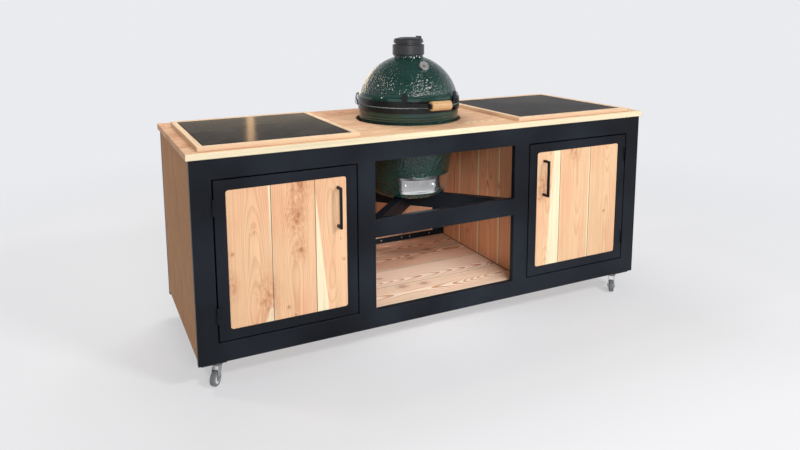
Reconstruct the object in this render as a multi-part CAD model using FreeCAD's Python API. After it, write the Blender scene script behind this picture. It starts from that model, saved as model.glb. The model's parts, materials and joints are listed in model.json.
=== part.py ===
import FreeCAD, Part
import math
import os

V = FreeCAD.Vector
os.makedirs("parts", exist_ok=True)

# Outdoor cooking table on casters with a ceramic kamado grill let into its top.
# Millimetres. X runs along the front, Y from front to back, Z up from the floor.
# The origin is on the floor, under the middle of the outline, door handles included.

# Steel frame: front and rear welded panels of flat box section, joined front to back
frame_length = 2200.0
frame_depth = 760.0
frame_height = 804.0
tube_face = 80.0
tube_depth = 25.0
tube_wall = 3.0
tube_round = 3.0
bay_width = 700.0
mid_bar_height = 398.0
bearer_height = 50.0
bearer_width = 50.0
side_rail_width = 25.0
trimmer_x = 275.0

# Cross under the grill, set on edge between the four inner posts
brace_width = 40.0
brace_height = 70.0

# Timber
board_thickness = 20.0
board_ease = 1.2
side_board_count = 4
side_board_lift = 20.0
floor_board_count = 4
floor_top = 77.0
floor_end_gap = 1.0
partition_inset = 12.0
back_board_thickness = 16.0
back_board_setback = 3.0
back_bay_boards = 4
back_wide_boards = 3
cleat_height = 25.0
cleat_thickness = 5.0
cleat_screw_inset = 25.0
screw_radius = 2.0
screw_head_radius = 4.0
screw_head_height = 1.8
screw_clearance = 0.2

# Worktop and its two framed stone slabs
top_thickness = 25.0
top_front_overhang = 6.0
top_side_overhang = 10.0
top_board_count = 5
top_board_ease = 1.5
hole_radius = 250.0
hole_from_front = 376.0
slab_size = 600.0
slab_thickness = 16.0
slab_ease = 1.0
slab_clearance = 3.0
batten_width = 24.0
batten_height = 17.0
tray_from_front = 23.0
left_tray_x = -1061.0
right_tray_x = 386.0

# Doors
door_gap = 5.0
door_depth = 22.0
door_stile = 45.0
door_rail = 41.0
door_wall = 2.0
door_corner = 12.0
door_board_thickness = 18.0
door_board_setback = 2.0
door_board_clearance = 0.5
door_outer_board = 173.0
door_middle_board = 181.0
flange_lap = 12.0

# Door handle, a square bar bow
handle_bar = 10.0
handle_length = 170.0
handle_reach = 37.0
handle_x = 518.0
handle_centre_height = 556.0

# Leaf and barrel door hinges
hinge_radius = 5.0
hinge_half = 33.0
hinge_pin_radius = 3.0
hinge_pin_length = 26.0
hinge_running = 0.05
hinge_face_gap = 0.3
hinge_leaf = 5.0
hinge_leaf_thickness = 2.5
hinge_heights = (192.0, 618.0)

# Magnetic door catches
magnet_length = 46.0
magnet_height = 14.0
magnet_width = 12.0
magnet_gap = 0.5
magnet_from_top = 40.0

# Casters under packing pads at the corners
pad_length = 100.0
pad_depth = 70.0
pad_thickness = 10.0
pad_side_inset = 12.0
pad_front_inset = 15.0
swivel_from_pad_end = 70.0
swivel_from_pad_front = 40.0
caster_height = 100.0
caster_trail = 20.0
caster_rest_turn = 139.5
wheel_radius = 30.0
wheel_width = 22.0
wheel_hub_radius = 19.0
wheel_side_gap = 1.5
caster_plate = 56.0
caster_plate_thickness = 3.0
caster_bolt_spacing = 42.0
caster_bolt_radius = 3.0
caster_bolt_clearance = 0.2
caster_bolt_length = 9.0
caster_bolt_head_radius = 5.0
caster_bolt_head_height = 4.0
race_radius = 22.0
race_height = 14.0
king_pin_radius = 5.0
king_pin_head_radius = 9.0
king_pin_head_height = 2.5
fork_plate = 3.0
fork_crown_radius = 20.0
axle_radius = 4.0
axle_head_radius = 7.0
caster_running = 0.05
caster_face_gap = 0.3

# Ceramic grill: heights are above the cross it stands on, radii about its own axis
grill_x = 4.0
grill_from_front = 378.0
wall = 22.0
foot_radius = 150.0
cone_bottom = (180.5, 24.0)
cone_top = (196.5, 126.0)
belly_mid = (217.5, 243.0)
shoulder = (232.0, 361.0)
rim_radius = 236.5
rim_start = 372.0
base_top = 435.0
base_floor = 25.0
gasket_thickness = 3.0
gasket_width = 16.0
lid_rim_top = 482.0
dome_radius = 236.0
dome_centre = 424.0
dome_start_radius = 227.0
neck_radius = 71.0
neck_top = 675.0
flue_radius = 50.0

# Fire box, ring, grate and cooking grid inside the grill
fire_box_outer = ((135.0, 0.0), (165.0, 101.0), (172.0, 220.0))
fire_box_wall = 20.0
fire_box_vent = 60.0
fire_ring_height = 151.0
fire_ring_inner = 156.0
fire_ring_outer = 186.0
grate_radius = 108.0
grate_thickness = 8.0
grate_hole_radius = 8.0
grate_hole_pitch = 26.0
grid_radius = 182.0
grid_thickness = 8.0
grid_bar = 7.0
grid_slot = 13.0
grid_rim = 12.0
grid_rib = 10.0

# Steel bands, their lugs and bolts
band_thickness = 3.8
band_gap = 0.3
lower_band = (411.0, 433.0)
upper_band = (441.0, 466.0)
band_lug_turn = 32.0
lug_width = 24.0
lug_thickness = 4.0
band_bolt_head_radius = 7.0
band_bolt_head_height = 5.0

# Lid handle
ear_height = 60.0
arm_height = 16.0
arm_thickness = 4.0
grip_reach = 300.0
grip_height = 453.0
grip_length = 98.0
grip_radius = 21.0
grip_cap_radius = 12.0
grip_cap_thickness = 4.5
grip_bore_clearance = 0.3
grip_rod_radius = 4.0
grip_end_gap = 0.3

# Lid hinge behind the grill
hinge_reach = 285.0
lid_axis_height = 425.0
lid_pin_radius = 5.0
lid_pin_running = 0.05
lid_plate = 6.0
lower_plate_x = 132.0
upper_arm_x = 118.0
lid_pin_overhang = 8.0
lower_disc_radius = 33.0
upper_disc_radius = 24.0
saddle_thickness = 4.0
spring_mean_radius = 22.0
spring_wire = 6.0
spring_turns = 12
spring_pitch = 8.0
spring_seat_gap = 0.3
spring_end_gap = 4.0

# Draft door at the foot of the grill
draft_turn = -8.0
draft_plate_left = 33.5
draft_plate_right = 53.0
draft_bottom = 29.0
draft_top = 108.0
draft_rail = 6.0
draft_plate = 2.0
draft_lip = 2.0
draft_fit = 0.3
draft_slide_left = 28.0
draft_slide_right = 19.5
draft_window_left = 18.0
draft_window_right = 4.0
draft_window_margin = 16.0
draft_screw_radius = 4.0
draft_screw_height = 2.5
draft_knob_radius = 6.0
draft_knob_height = 12.0
draft_knob_inset = 3.4

# Chimney cap
cap_radius = 75.5
cap_bottom = 661.0
cap_deck = 709.0
cap_fit = 0.4
cap_hole_radius = 46.0
cap_collar_radius = 64.0
cap_collar_height = 8.0
cap_lid_radius = 71.0
cap_lid_thickness = 21.0
cap_lid_crown = 6.0
cap_lid_step = 2.5
cap_lid_gap = 0.3
cap_edge = 3.0
cap_axis_reach = 78.0
cap_knuckle_radius = 6.0
cap_knuckle_length = 16.0
cap_ear_length = 7.0
cap_pin_radius = 2.5
cap_running = 0.05
tab_width = 34.0
tab_length = 12.0
tab_rise = 9.0

# Thermometer in the front of the lid
dial_tilt = 35.0
dial_reach = 156.0
dial_height = 619.0
dial_radius = 24.0
dial_depth = 8.0
dial_wall = 2.0
dial_face_thickness = 1.0
boss_radius = 10.0
boss_length = 14.0
boss_gap = 0.3
stem_radius = 3.5
stem_length = 62.0
stem_clearance = 0.4
needle_length = 17.0
needle_width = 2.0
needle_thickness = 0.8
needle_post_radius = 1.2
needle_running = 0.05
needle_lift = 1.2
lens_thickness = 1.5
glass_clearance = 0.2

# Places worked out from the sizes above
frame_base = caster_height + pad_thickness
top_depth = frame_depth + top_front_overhang
front = (handle_reach - frame_depth) / 2.0
back = front + frame_depth
half_length = frame_length / 2.0
half_bay = bay_width / 2.0
front_inner = front + tube_depth
rear_inner = back - tube_depth
frame_top = frame_base + frame_height
top_surface = frame_top + top_thickness
partition_inner = half_bay + tube_face - partition_inset
partition_outer = partition_inner + board_thickness
side_inner = half_length - board_thickness
bearer_top = frame_base + floor_top - board_thickness
bearer_bottom = bearer_top - bearer_height
brace_bottom = frame_base + mid_bar_height
brace_top = brace_bottom + brace_height
grill_y = front + grill_from_front
door_left = half_bay + tube_face + door_gap
door_right = half_length - tube_face - door_gap
door_bottom = frame_base + tube_face + door_gap
door_top = frame_top - tube_face - door_gap
door_axis_x = half_length - tube_face - door_gap / 2.0
door_axis_y = front - hinge_radius - hinge_face_gap


def box(x0, x1, y0, y1, z0, z1):
    return Part.makeBox(x1 - x0, y1 - y0, z1 - z0, V(x0, y0, z0))


def rod(radius, start, end):
    way = end.sub(start)
    return Part.makeCylinder(radius, way.Length, start, way)


def fuse(shapes):
    return shapes[0].multiFuse(shapes[1:]).removeSplitter()


def mirrored(shapes):
    return [shape.mirror(V(0, 0, 0), V(1, 0, 0)) for shape in shapes]


def save(node, shapes):
    """Write one node, which may hold several separate solids."""
    solids = []
    for shape in shapes:
        if not shape.Solids or not shape.isValid():
            raise ValueError("no sound solid in " + node)
        solids.extend(shape.Solids)
    whole = solids[0] if len(solids) == 1 else Part.makeCompound(solids)
    whole.exportStep("parts/" + node + ".step")


def edges_along(shape, axis, test=None):
    """Straight edges that run along an axis, and that pass a test of their middle."""
    found = []
    for edge in shape.Edges:
        if len(edge.Vertexes) != 2:
            continue
        way = edge.Vertexes[1].Point.sub(edge.Vertexes[0].Point)
        off_axis = [abs(value) for index, value in enumerate(way) if index != axis]
        if max(off_axis) > 1e-6:
            continue
        if test is None or test(edge.CenterOfMass):
            found.append(edge)
    return found


def box_section(x0, x1, y0, y1, z0, z1, axis, thickness=tube_wall):
    """An open-ended rectangular tube that runs along axis 0, 1 or 2."""
    low = [x0 + thickness, y0 + thickness, z0 + thickness]
    high = [x1 - thickness, y1 - thickness, z1 - thickness]
    low[axis] = (x0, y0, z0)[axis]
    high[axis] = (x1, y1, z1)[axis]
    bore = box(low[0], high[0], low[1], high[1], low[2], high[2])
    return box(x0, x1, y0, y1, z0, z1).cut(bore)


def welded_panel(outline, members, y0, y1, rounding, thickness):
    """A flat frame of box section: its face edges rounded, then parted into its tubes.

    members holds (x0, x1, z0, z1, axis, lap): the tube's own bounds, the way it runs,
    and how far past its inner edge it also takes in the corner fillings.
    """
    face_edges = [edge for edge in outline.Edges
                  if abs(edge.CenterOfMass.y - y0) < 1e-6 or abs(edge.CenterOfMass.y - y1) < 1e-6]
    rounded = outline.makeFillet(rounding, face_edges)
    tubes = []
    for x0, x1, z0, z1, axis, lap_low, lap_high in members:
        part = rounded.common(box(x0, x1, y0, y1, z0 - lap_low, z1 + lap_high))
        low = [x0 + thickness, y0 + thickness, z0 + thickness]
        high = [x1 - thickness, y1 - thickness, z1 - thickness]
        low[axis] = (x0, y0, z0)[axis]
        high[axis] = (x1, y1, z1)[axis]
        tubes.append(part.cut(box(low[0], high[0], low[1], high[1], low[2], high[2])))
    return tubes


def boards(x0, x1, y0, y1, z0, z1, across, length_axis, widths, ease=board_ease):
    """Boards laid side by side across one axis, each with its long edges eased."""
    laid = []
    low = [x0, y0, z0]
    high = [x1, y1, z1]
    place = low[across]
    for width in widths:
        start = list(low)
        end = list(high)
        start[across] = place
        end[across] = place + width
        place += width
        board = box(start[0], end[0], start[1], end[1], start[2], end[2])
        laid.append(board.makeChamfer(ease, edges_along(board, length_axis)))
    return laid


def even(total, count):
    return [total / count] * count


def face_of(points):
    """A flat face on straight sides through points."""
    return Part.Face(Part.makePolygon(points + [points[0]]))


def ring(profile, centre, start=0.0, sweep=360.0):
    """Turn a closed (radius, height) outline about a vertical axis at centre.

    Angles run from the front, positive towards +X.
    """
    face = face_of([V(0, -r, z) for r, z in profile])
    solid = face.revolve(V(0, 0, 0), V(0, 0, 1), sweep)
    solid = solid.rotated(V(0, 0, 0), V(0, 0, 1), start)
    return solid.translated(centre)


def turned(shape, centre, angle):
    return shape.rotated(centre, V(0, 0, 1), angle)


grill_floor = V(grill_x, grill_y, brace_top)


def at_grill(x, y, z):
    """A point given about the grill's axis and above the cross."""
    return grill_floor.add(V(x, y, z))


def frame_panels():
    """The front and rear panels: two stiles, four rails, two posts and a middle bar."""
    rail_top = frame_base + tube_face
    head_bottom = frame_top - tube_face
    inner = half_length - tube_face
    post_outer = half_bay + tube_face
    bar = (frame_base + mid_bar_height, frame_base + mid_bar_height + tube_face)
    members = [
        (-half_length, -inner, frame_base, frame_top, 2, 0, 0),
        (inner, half_length, frame_base, frame_top, 2, 0, 0),
        (-inner, inner, frame_base, rail_top, 0, 0, 0),
        (-inner, inner, head_bottom, frame_top, 0, 0, 0),
        (-post_outer, -half_bay, rail_top, head_bottom, 2, 0, 0),
        (half_bay, post_outer, rail_top, head_bottom, 2, 0, 0),
        (-half_bay, half_bay, bar[0], bar[1], 0, 0, 0),
    ]
    for node, y0 in (("front_frame", front), ("rear_frame", rear_inner)):
        y1 = y0 + tube_depth
        outline = fuse([box(m[0], m[1], y0, y1, m[2], m[3]) for m in members])
        save(node, welded_panel(outline, members, y0, y1, tube_round, tube_wall))


def cross_rails():
    """Tubes from the front panel to the rear one, under the boards and beside the grill."""
    side_x = side_inner - side_rail_width
    bearer_x = partition_inner + (board_thickness - bearer_width) / 2.0
    high = (frame_top - bearer_height, frame_top)
    low = (bearer_bottom, bearer_top)
    one_side = [
        (side_x, side_inner, low),
        (bearer_x, bearer_x + bearer_width, low),
        (side_x, side_inner, high),
        (partition_outer, partition_outer + side_rail_width, high),
        (trimmer_x, trimmer_x + side_rail_width, high),
    ]
    rails = [box_section(x0, x1, front_inner, rear_inner, span[0], span[1], 1)
             for x0, x1, span in one_side]
    save("cross_rails", rails + mirrored(rails))


def grill_cradle():
    """Two bars on edge that cross under the grill: one whole, one in two halves."""
    span = rear_inner - front_inner
    angle = math.degrees(math.atan2(span, bay_width))
    reach = math.hypot(span, bay_width)
    middle = V(0, (front_inner + rear_inner) / 2.0, 0)
    keep = box(-half_length, half_length, front_inner, rear_inner, brace_bottom, brace_top)
    half = brace_width / 2.0
    whole = box_section(-reach, reach, -half, half, brace_bottom, brace_top, 0)
    seam = brace_width / (2.0 * math.sin(math.radians(2.0 * angle)))
    seam += abs(half / math.tan(math.radians(2.0 * angle)))
    bars = [whole.translated(middle).rotated(middle, V(0, 0, 1), angle).common(keep)]
    solid_bar = box(-reach, reach, -half, half, brace_bottom, brace_top)
    solid_bar = solid_bar.translated(middle).rotated(middle, V(0, 0, 1), angle)
    other = whole.translated(middle).rotated(middle, V(0, 0, 1), -angle).common(keep)
    bars.extend(other.cut(solid_bar).Solids)
    save("grill_cradle", bars)


def cladding():
    """Side walls, partitions and the infill of the rear panel, all of upright boards."""
    depth = rear_inner - front_inner
    z0 = frame_base + side_board_lift
    right = boards(side_inner, half_length, front_inner, rear_inner, z0, frame_top,
                   1, 2, even(depth, side_board_count))
    save("side_boards", right + mirrored(right))
    y0 = front_inner + floor_end_gap
    y1 = rear_inner - floor_end_gap
    right = boards(partition_inner, partition_outer, y0, y1, bearer_top, frame_top,
                   1, 2, even(y1 - y0, floor_board_count))
    save("partition_boards", right + mirrored(right))


def rear_infill():
    """Back boards in the rear panel, with the screwed flat bars that hold them."""
    y1 = back - back_board_setback
    y0 = y1 - back_board_thickness
    low = frame_base + tube_face
    high = frame_top - tube_face
    bar_low = frame_base + mid_bar_height
    bar_high = bar_low + tube_face
    outer = (half_bay + tube_face, half_length - tube_face)
    bays = [
        (-half_bay, half_bay, low, bar_low, back_bay_boards),
        (-half_bay, half_bay, bar_high, high, back_bay_boards),
        (outer[0], outer[1], low, high, back_wide_boards),
        (-outer[1], -outer[0], low, high, back_wide_boards),
    ]
    infill = []
    cleats = []
    for x0, x1, z0, z1, count in bays:
        infill.extend(boards(x0, x1, y0, y1, z0, z1, 0, 2, even(x1 - x0, count)))
        width = (x1 - x0) / count
        for bottom in (z0, z1 - cleat_height):
            bar = box(x0, x1, y0 - cleat_thickness, y0, bottom, bottom + cleat_height)
            for index in range(count):
                for inset in (cleat_screw_inset, width - cleat_screw_inset):
                    x = x0 + index * width + inset
                    z = bottom + cleat_height / 2.0
                    face = V(x, y0 - cleat_thickness, z)
                    inner = V(x, y0, z)
                    bar = bar.cut(rod(screw_radius + screw_clearance, face, inner))
                    tip = V(x, y0 - cleat_thickness - screw_head_height, z)
                    head = rod(screw_head_radius, tip, face)
                    cleats.append(fuse([head, rod(screw_radius, face, inner)]))
            cleats.append(bar)
    save("back_boards", infill)
    save("back_cleats", cleats)


def floors():
    """The open shelf and the two cabinet floors, of boards laid along the table."""
    y0 = front_inner + floor_end_gap
    y1 = rear_inner - floor_end_gap
    z0 = bearer_top
    z1 = bearer_top + board_thickness
    widths = even(y1 - y0, floor_board_count)
    shelf = boards(-partition_inner, partition_inner, y0, y1, z0, z1, 1, 0, widths)
    save("shelf_boards", shelf)
    right = boards(partition_outer, side_inner, y0, y1, z0, z1, 1, 0, widths)
    save("cabinet_floor_boards", right + mirrored(right))


def worktop():
    """Long boards with the round hole for the grill."""
    reach = half_length + top_side_overhang
    y0 = front - top_front_overhang
    laid = boards(-reach, reach, y0, y0 + top_depth, frame_top, top_surface,
                  1, 0, even(top_depth, top_board_count), top_board_ease)
    hole = Part.makeCylinder(hole_radius, top_thickness, V(0, front + hole_from_front, frame_top))
    save("worktop_boards", [board.cut(hole) for board in laid])


def trays():
    """A raised frame of battens round each stone slab."""
    inner = slab_size + 2 * slab_clearance
    outer = inner + 2 * batten_width
    y0 = front + tray_from_front
    z1 = top_surface + batten_height
    battens = []
    for node, x0 in (("stone_slab_left", left_tray_x), ("stone_slab_right", right_tray_x)):
        ends = (x0, x0 + outer)
        for y in (y0, y0 + outer - batten_width):
            battens += boards(ends[0], ends[1], y, y + batten_width, top_surface, z1,
                              1, 0, [batten_width])
        for x in (ends[0], ends[1] - batten_width):
            battens += boards(x, x + batten_width, y0 + batten_width, y0 + outer - batten_width,
                              top_surface, z1, 0, 1, [batten_width])
        x = x0 + batten_width + slab_clearance
        y = y0 + batten_width + slab_clearance
        slab = box(x, x + slab_size, y, y + slab_size, top_surface, top_surface + slab_thickness)
        upper = [edge for edge in slab.Edges
                 if abs(edge.CenterOfMass.z - top_surface - slab_thickness) < 1e-6]
        save(node, [slab.makeChamfer(slab_ease, upper)])
    save("tray_battens", battens)


def rounded_rectangle(x0, x1, z0, z1, y0, y1, radius):
    """A block through the door's thickness with rounded upright corners."""
    block = box(x0, x1, y0, y1, z0, z1)
    return block.makeFillet(radius, edges_along(block, 1))


def door_parts():
    """The right-hand door: frame with a board panel, handle and hinge sockets."""
    x0, x1, z0, z1 = door_left, door_right, door_bottom, door_top
    y0, y1 = front, front + door_depth
    window = (x0 + door_stile, x1 - door_stile, z0 + door_rail, z1 - door_rail)
    hole = rounded_rectangle(window[0], window[1], window[2], window[3], y0, y1, door_corner)
    outline = box(x0, x1, y0, y1, z0, z1).cut(hole)
    lap = door_corner
    members = [
        (x0, window[0], z0, z1, 2, 0, 0),
        (window[1], x1, z0, z1, 2, 0, 0),
        (window[0], window[1], z0, window[2], 0, 0, lap),
        (window[0], window[1], window[3], z1, 0, lap, 0),
    ]
    frame = welded_panel(outline, members, y0, y1, door_wall, door_wall)
    board_y0 = front + door_board_setback
    board_y1 = board_y0 + door_board_thickness
    ends = (window[2] + flange_lap, window[3] - flange_lap)
    flanges = [
        box(window[0], window[1], board_y1, y1, window[2], ends[0]),
        box(window[0], window[1], board_y1, y1, ends[1], window[3]),
        box(window[0], window[0] + flange_lap, board_y1, y1, ends[0], ends[1]),
        box(window[1] - flange_lap, window[1], board_y1, y1, ends[0], ends[1]),
    ]
    frame += [flange.common(hole) for flange in flanges]

    gap = door_board_clearance
    span = window[1] - window[0] - 2 * gap
    widths = [span - door_outer_board - door_middle_board, door_middle_board, door_outer_board]
    panel = boards(window[0] + gap, window[1] - gap, board_y0, board_y1,
                   window[2] + gap, window[3] - gap, 0, 2, widths)
    trim = rounded_rectangle(window[0] + gap, window[1] - gap, window[2] + gap, window[3] - gap,
                             board_y0, board_y1, door_corner - gap)
    panel = [board.common(trim) for board in panel]

    low = frame_base + handle_centre_height - handle_length / 2.0
    high = low + handle_length
    half = handle_bar / 2.0
    tip = front - handle_reach
    bow = fuse([
        box(handle_x - half, handle_x + half, tip, board_y0, low, low + handle_bar),
        box(handle_x - half, handle_x + half, tip, board_y0, high - handle_bar, high),
        box(handle_x - half, handle_x + half, tip, tip + handle_bar, low, high),
    ])
    bow = bow.makeFillet(1.0, edges_along(bow, 2, lambda c: c.y < tip + handle_bar + 0.1))
    return frame, panel, [bow]


def hinge_halves(height):
    """A barrel hinge: the lower half with the pin on the frame, the upper half on the door."""
    axis = V(door_axis_x, door_axis_y, frame_base + height)
    leaf_y = (front - hinge_leaf_thickness, front)
    reach = hinge_radius + hinge_leaf
    lower_z = (axis.z - hinge_half, axis.z)
    upper_z = (axis.z + hinge_face_gap, axis.z + hinge_face_gap + hinge_half)
    lower = Part.makeCylinder(hinge_radius, hinge_half, V(axis.x, axis.y, lower_z[0]))
    upper = Part.makeCylinder(hinge_radius, hinge_half, V(axis.x, axis.y, upper_z[0]))
    lower_leaf = box(axis.x, axis.x + reach, leaf_y[0], leaf_y[1], lower_z[0], lower_z[1])
    upper_leaf = box(axis.x - reach, axis.x, leaf_y[0], leaf_y[1], upper_z[0], upper_z[1])
    pin = Part.makeCylinder(hinge_pin_radius, hinge_pin_length, axis)
    socket = Part.makeCylinder(hinge_pin_radius + hinge_running,
                               hinge_pin_length + hinge_face_gap, axis)
    return fuse([lower, lower_leaf, pin]), fuse([upper, upper_leaf]).cut(socket)


def doors():
    frame, panel, bow = door_parts()
    halves = [hinge_halves(height) for height in hinge_heights]
    pins = [pair[0] for pair in halves]
    sockets = [pair[1] for pair in halves]
    save("hinge_pin_halves", pins + mirrored(pins))
    for node, shapes in (("door_frame", frame), ("door_boards", panel),
                         ("door_handle", bow), ("hinge_sockets", sockets)):
        save("right_" + node, shapes)
        save("left_" + node, mirrored(shapes))
    y0 = front + door_depth + magnet_gap
    z1 = frame_top - tube_face - magnet_from_top
    x0 = half_bay + tube_face
    catch = box(x0 + bearer_width / 5.0, x0 + bearer_width / 5.0 + magnet_width, y0,
                y0 + magnet_length, z1 - magnet_height, z1)
    foot = box(partition_outer, x0 + bearer_width / 5.0, front_inner + floor_end_gap,
               y0 + magnet_length, z1 - magnet_height, z1)
    catches = [fuse([catch, foot])]
    save("door_catches", catches + mirrored(catches))


def caster_places():
    """The four corners: swivel axis, and the pad's low X, high X, low Y and high Y."""
    found = []
    for side in (-1, 1):
        for row in ("front", "rear"):
            outer = half_length - pad_side_inset
            inner = outer - pad_length
            swivel_x = side * (outer - swivel_from_pad_end)
            if row == "front":
                y0 = front + pad_front_inset
                swivel_y = y0 + swivel_from_pad_front
            else:
                y0 = back - pad_front_inset - pad_depth
                swivel_y = y0 + pad_depth - swivel_from_pad_front
            x0, x1 = sorted((side * outer, side * inner))
            name = row + ("_left" if side < 0 else "_right")
            found.append((name, V(swivel_x, swivel_y, caster_height), x0, x1, y0, y0 + pad_depth))
    return found


def bolt_places(axis):
    half = caster_bolt_spacing / 2.0
    return [V(axis.x + i * half, axis.y + j * half, axis.z) for i in (-1, 1) for j in (-1, 1)]


def caster_plate_part(axis):
    """Top plate, ball race and king pin under one corner."""
    half = caster_plate / 2.0
    plate = box(axis.x - half, axis.x + half, axis.y - half, axis.y + half,
                axis.z - caster_plate_thickness, axis.z)
    for place in bolt_places(axis):
        start = place.sub(V(0, 0, caster_plate_thickness))
        plate = plate.cut(rod(caster_bolt_radius + caster_bolt_clearance, start, place))
    race_bottom = axis.z - caster_plate_thickness - race_height
    race = Part.makeCone(race_radius - 4.0, race_radius, race_height,
                         V(axis.x, axis.y, race_bottom))
    pin_bottom = race_bottom - fork_plate - 2 * caster_face_gap
    pin = Part.makeCylinder(king_pin_radius, race_bottom - pin_bottom,
                            V(axis.x, axis.y, pin_bottom))
    head = Part.makeCylinder(king_pin_head_radius, king_pin_head_height,
                             V(axis.x, axis.y, pin_bottom - king_pin_head_height))
    return fuse([plate, race, pin, head])


def caster_bolt(place):
    top = place.add(V(0, 0, caster_bolt_length - caster_plate_thickness))
    under = place.sub(V(0, 0, caster_plate_thickness))
    tip = under.sub(V(0, 0, caster_bolt_head_height))
    head = Part.makeCylinder(caster_bolt_head_radius, caster_bolt_head_height, tip)
    return fuse([head, rod(caster_bolt_radius, under, top)])


def fork_part(axis):
    """Swivelling fork with its axle, trailing towards +Y before it is turned to rest."""
    crown_top = axis.z - caster_plate_thickness - race_height - caster_face_gap
    crown_bottom = crown_top - fork_plate
    half_gap = wheel_width / 2.0 + wheel_side_gap
    crown = Part.makeCylinder(fork_crown_radius, fork_plate, V(0, 0, crown_bottom))
    axle_y = caster_trail
    axle_z = wheel_radius
    pieces = []
    for side in (-1, 1):
        x0, x1 = sorted((side * half_gap, side * (half_gap + fork_plate)))
        foot = axle_radius + 6.0
        leg = face_of([
            V(x0, -fork_crown_radius * 0.6, crown_top),
            V(x0, fork_crown_radius * 0.8, crown_top),
            V(x0, axle_y + foot, axle_z + 2.0),
            V(x0, axle_y + foot * 0.5, axle_z - foot * 0.9),
            V(x0, axle_y - foot * 0.5, axle_z - foot * 0.9),
            V(x0, axle_y - foot, axle_z),
        ]).extrude(V(x1 - x0, 0, 0))
        pieces.append(leg)
        head_x = sorted((side * (half_gap + fork_plate), side * (half_gap + fork_plate + 3.5)))
        pieces.append(rod(axle_head_radius, V(head_x[0], axle_y, axle_z),
                          V(head_x[1], axle_y, axle_z)))
    pieces.append(rod(axle_radius, V(-half_gap, axle_y, axle_z), V(half_gap, axle_y, axle_z)))
    bore = Part.makeCylinder(king_pin_radius + caster_running, fork_plate,
                             V(0, 0, crown_bottom))
    return fuse([crown] + pieces).cut(bore)


def wheel_part():
    """Hub and tyre, as a wheel standing at the end of the fork."""
    half = wheel_width / 2.0
    start = V(-half, caster_trail, wheel_radius)
    end = V(half, caster_trail, wheel_radius)
    disc = rod(wheel_radius, start, end)
    rim_edges = [edge for edge in disc.Edges if len(edge.Vertexes) == 1]
    disc = disc.makeFillet(4.0, rim_edges)
    hub_bore = rod(axle_radius + caster_running, start, end)
    hub = rod(wheel_hub_radius, start, end)
    return [hub.cut(hub_bore), disc.cut(hub)]


def casters():
    pads = []
    plates = []
    bolts = []
    for name, axis, x0, x1, y0, y1 in caster_places():
        pad = box(x0, x1, y0, y1, caster_height, frame_base)
        pad = pad.makeFillet(2.0, edges_along(pad, 2))
        for place in bolt_places(axis):
            top = place.add(V(0, 0, caster_bolt_length))
            pad = pad.cut(rod(caster_bolt_radius + caster_bolt_clearance, place, top))
            bolts.append(caster_bolt(place))
        pads.append(pad)
        plates.append(caster_plate_part(axis))
        spot = V(axis.x, axis.y, 0)
        fork = turned(fork_part(axis), V(0, 0, 0), caster_rest_turn).translated(spot)
        wheel = [turned(shape, V(0, 0, 0), caster_rest_turn).translated(spot)
                 for shape in wheel_part()]
        save(name + "_fork", [fork])
        save(name + "_wheel", wheel)
    save("caster_pads", pads)
    save("caster_plates", plates)
    save("caster_bolts", bolts)


def arc(p0, p1, p2):
    return Part.Arc(V(0, -p0[0], p0[1]), V(0, -p1[0], p1[1]), V(0, -p2[0], p2[1])).toShape()


def line(p0, p1):
    return Part.LineSegment(V(0, -p0[0], p0[1]), V(0, -p1[0], p1[1])).toShape()


def turned_shell(edges):
    """Turn a closed outline of edges once round the grill's axis."""
    face = Part.Face(Part.Wire(edges))
    return face.revolve(V(0, 0, 0), V(0, 0, 1), 360.0).translated(grill_floor)


def wall_radius(height):
    """Outer radius of the cone that carries the draft door."""
    share = (height - cone_bottom[1]) / (cone_top[1] - cone_bottom[1])
    return cone_bottom[0] + share * (cone_top[0] - cone_bottom[0])


def wedge(low_angle, high_angle, inner, outer, z0, z1):
    """A block of space between two angles about the grill's axis."""
    profile = [(inner, z0), (outer, z0), (outer, z1), (inner, z1)]
    return ring(profile, grill_floor, low_angle, high_angle - low_angle)


def grill_base():
    """The lower shell: foot, cone, belly and straight rim, with the draft hole."""
    run = cone_bottom[0] - foot_radius
    turn_radius = (run ** 2 + cone_bottom[1] ** 2) / (2.0 * cone_bottom[1])
    halfway = math.asin(min(run / turn_radius, 1.0)) / 2.0
    if cone_bottom[1] > turn_radius:
        halfway = (math.pi - 2.0 * halfway) / 2.0
    corner = (foot_radius + turn_radius * math.sin(halfway),
              turn_radius * (1.0 - math.cos(halfway)))
    rim_low = (rim_radius, rim_start)
    inner_rim = (rim_radius - wall, rim_start)
    inner_cone = (cone_top[0] - wall, cone_top[1])
    inner_belly = (belly_mid[0] - wall, belly_mid[1])
    inner_foot = (wall_radius(base_floor + 20.0) - wall, base_floor + 20.0)
    inner_floor = (inner_foot[0] - 18.0, base_floor)
    edges = [
        line((0, 0), (foot_radius, 0)),
        arc((foot_radius, 0), corner, cone_bottom),
        line(cone_bottom, cone_top),
        arc(cone_top, belly_mid, shoulder),
        line(shoulder, rim_low),
        line(rim_low, (rim_radius, base_top)),
        line((rim_radius, base_top), (rim_radius - wall, base_top)),
        line((rim_radius - wall, base_top), inner_rim),
        arc(inner_rim, inner_belly, inner_cone),
        line(inner_cone, inner_foot),
        line(inner_foot, inner_floor),
        line(inner_floor, (0, base_floor)),
        line((0, base_floor), (0, 0)),
    ]
    shell = turned_shell(edges)
    z0 = draft_bottom + draft_window_margin
    z1 = draft_top - draft_window_margin
    hole = wedge(draft_turn - draft_window_left, draft_turn + draft_window_right,
                 cone_bottom[0] - 2.5 * wall, cone_top[0] + wall, z0, z1)
    save("grill_base", [shell.cut(hole)])
    inner = rim_radius - wall / 2.0 - gasket_width / 2.0
    profile = [(inner, base_top), (inner + gasket_width, base_top),
               (inner + gasket_width, base_top + gasket_thickness),
               (inner, base_top + gasket_thickness)]
    save("rim_gasket", [ring(profile, grill_floor)])


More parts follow.
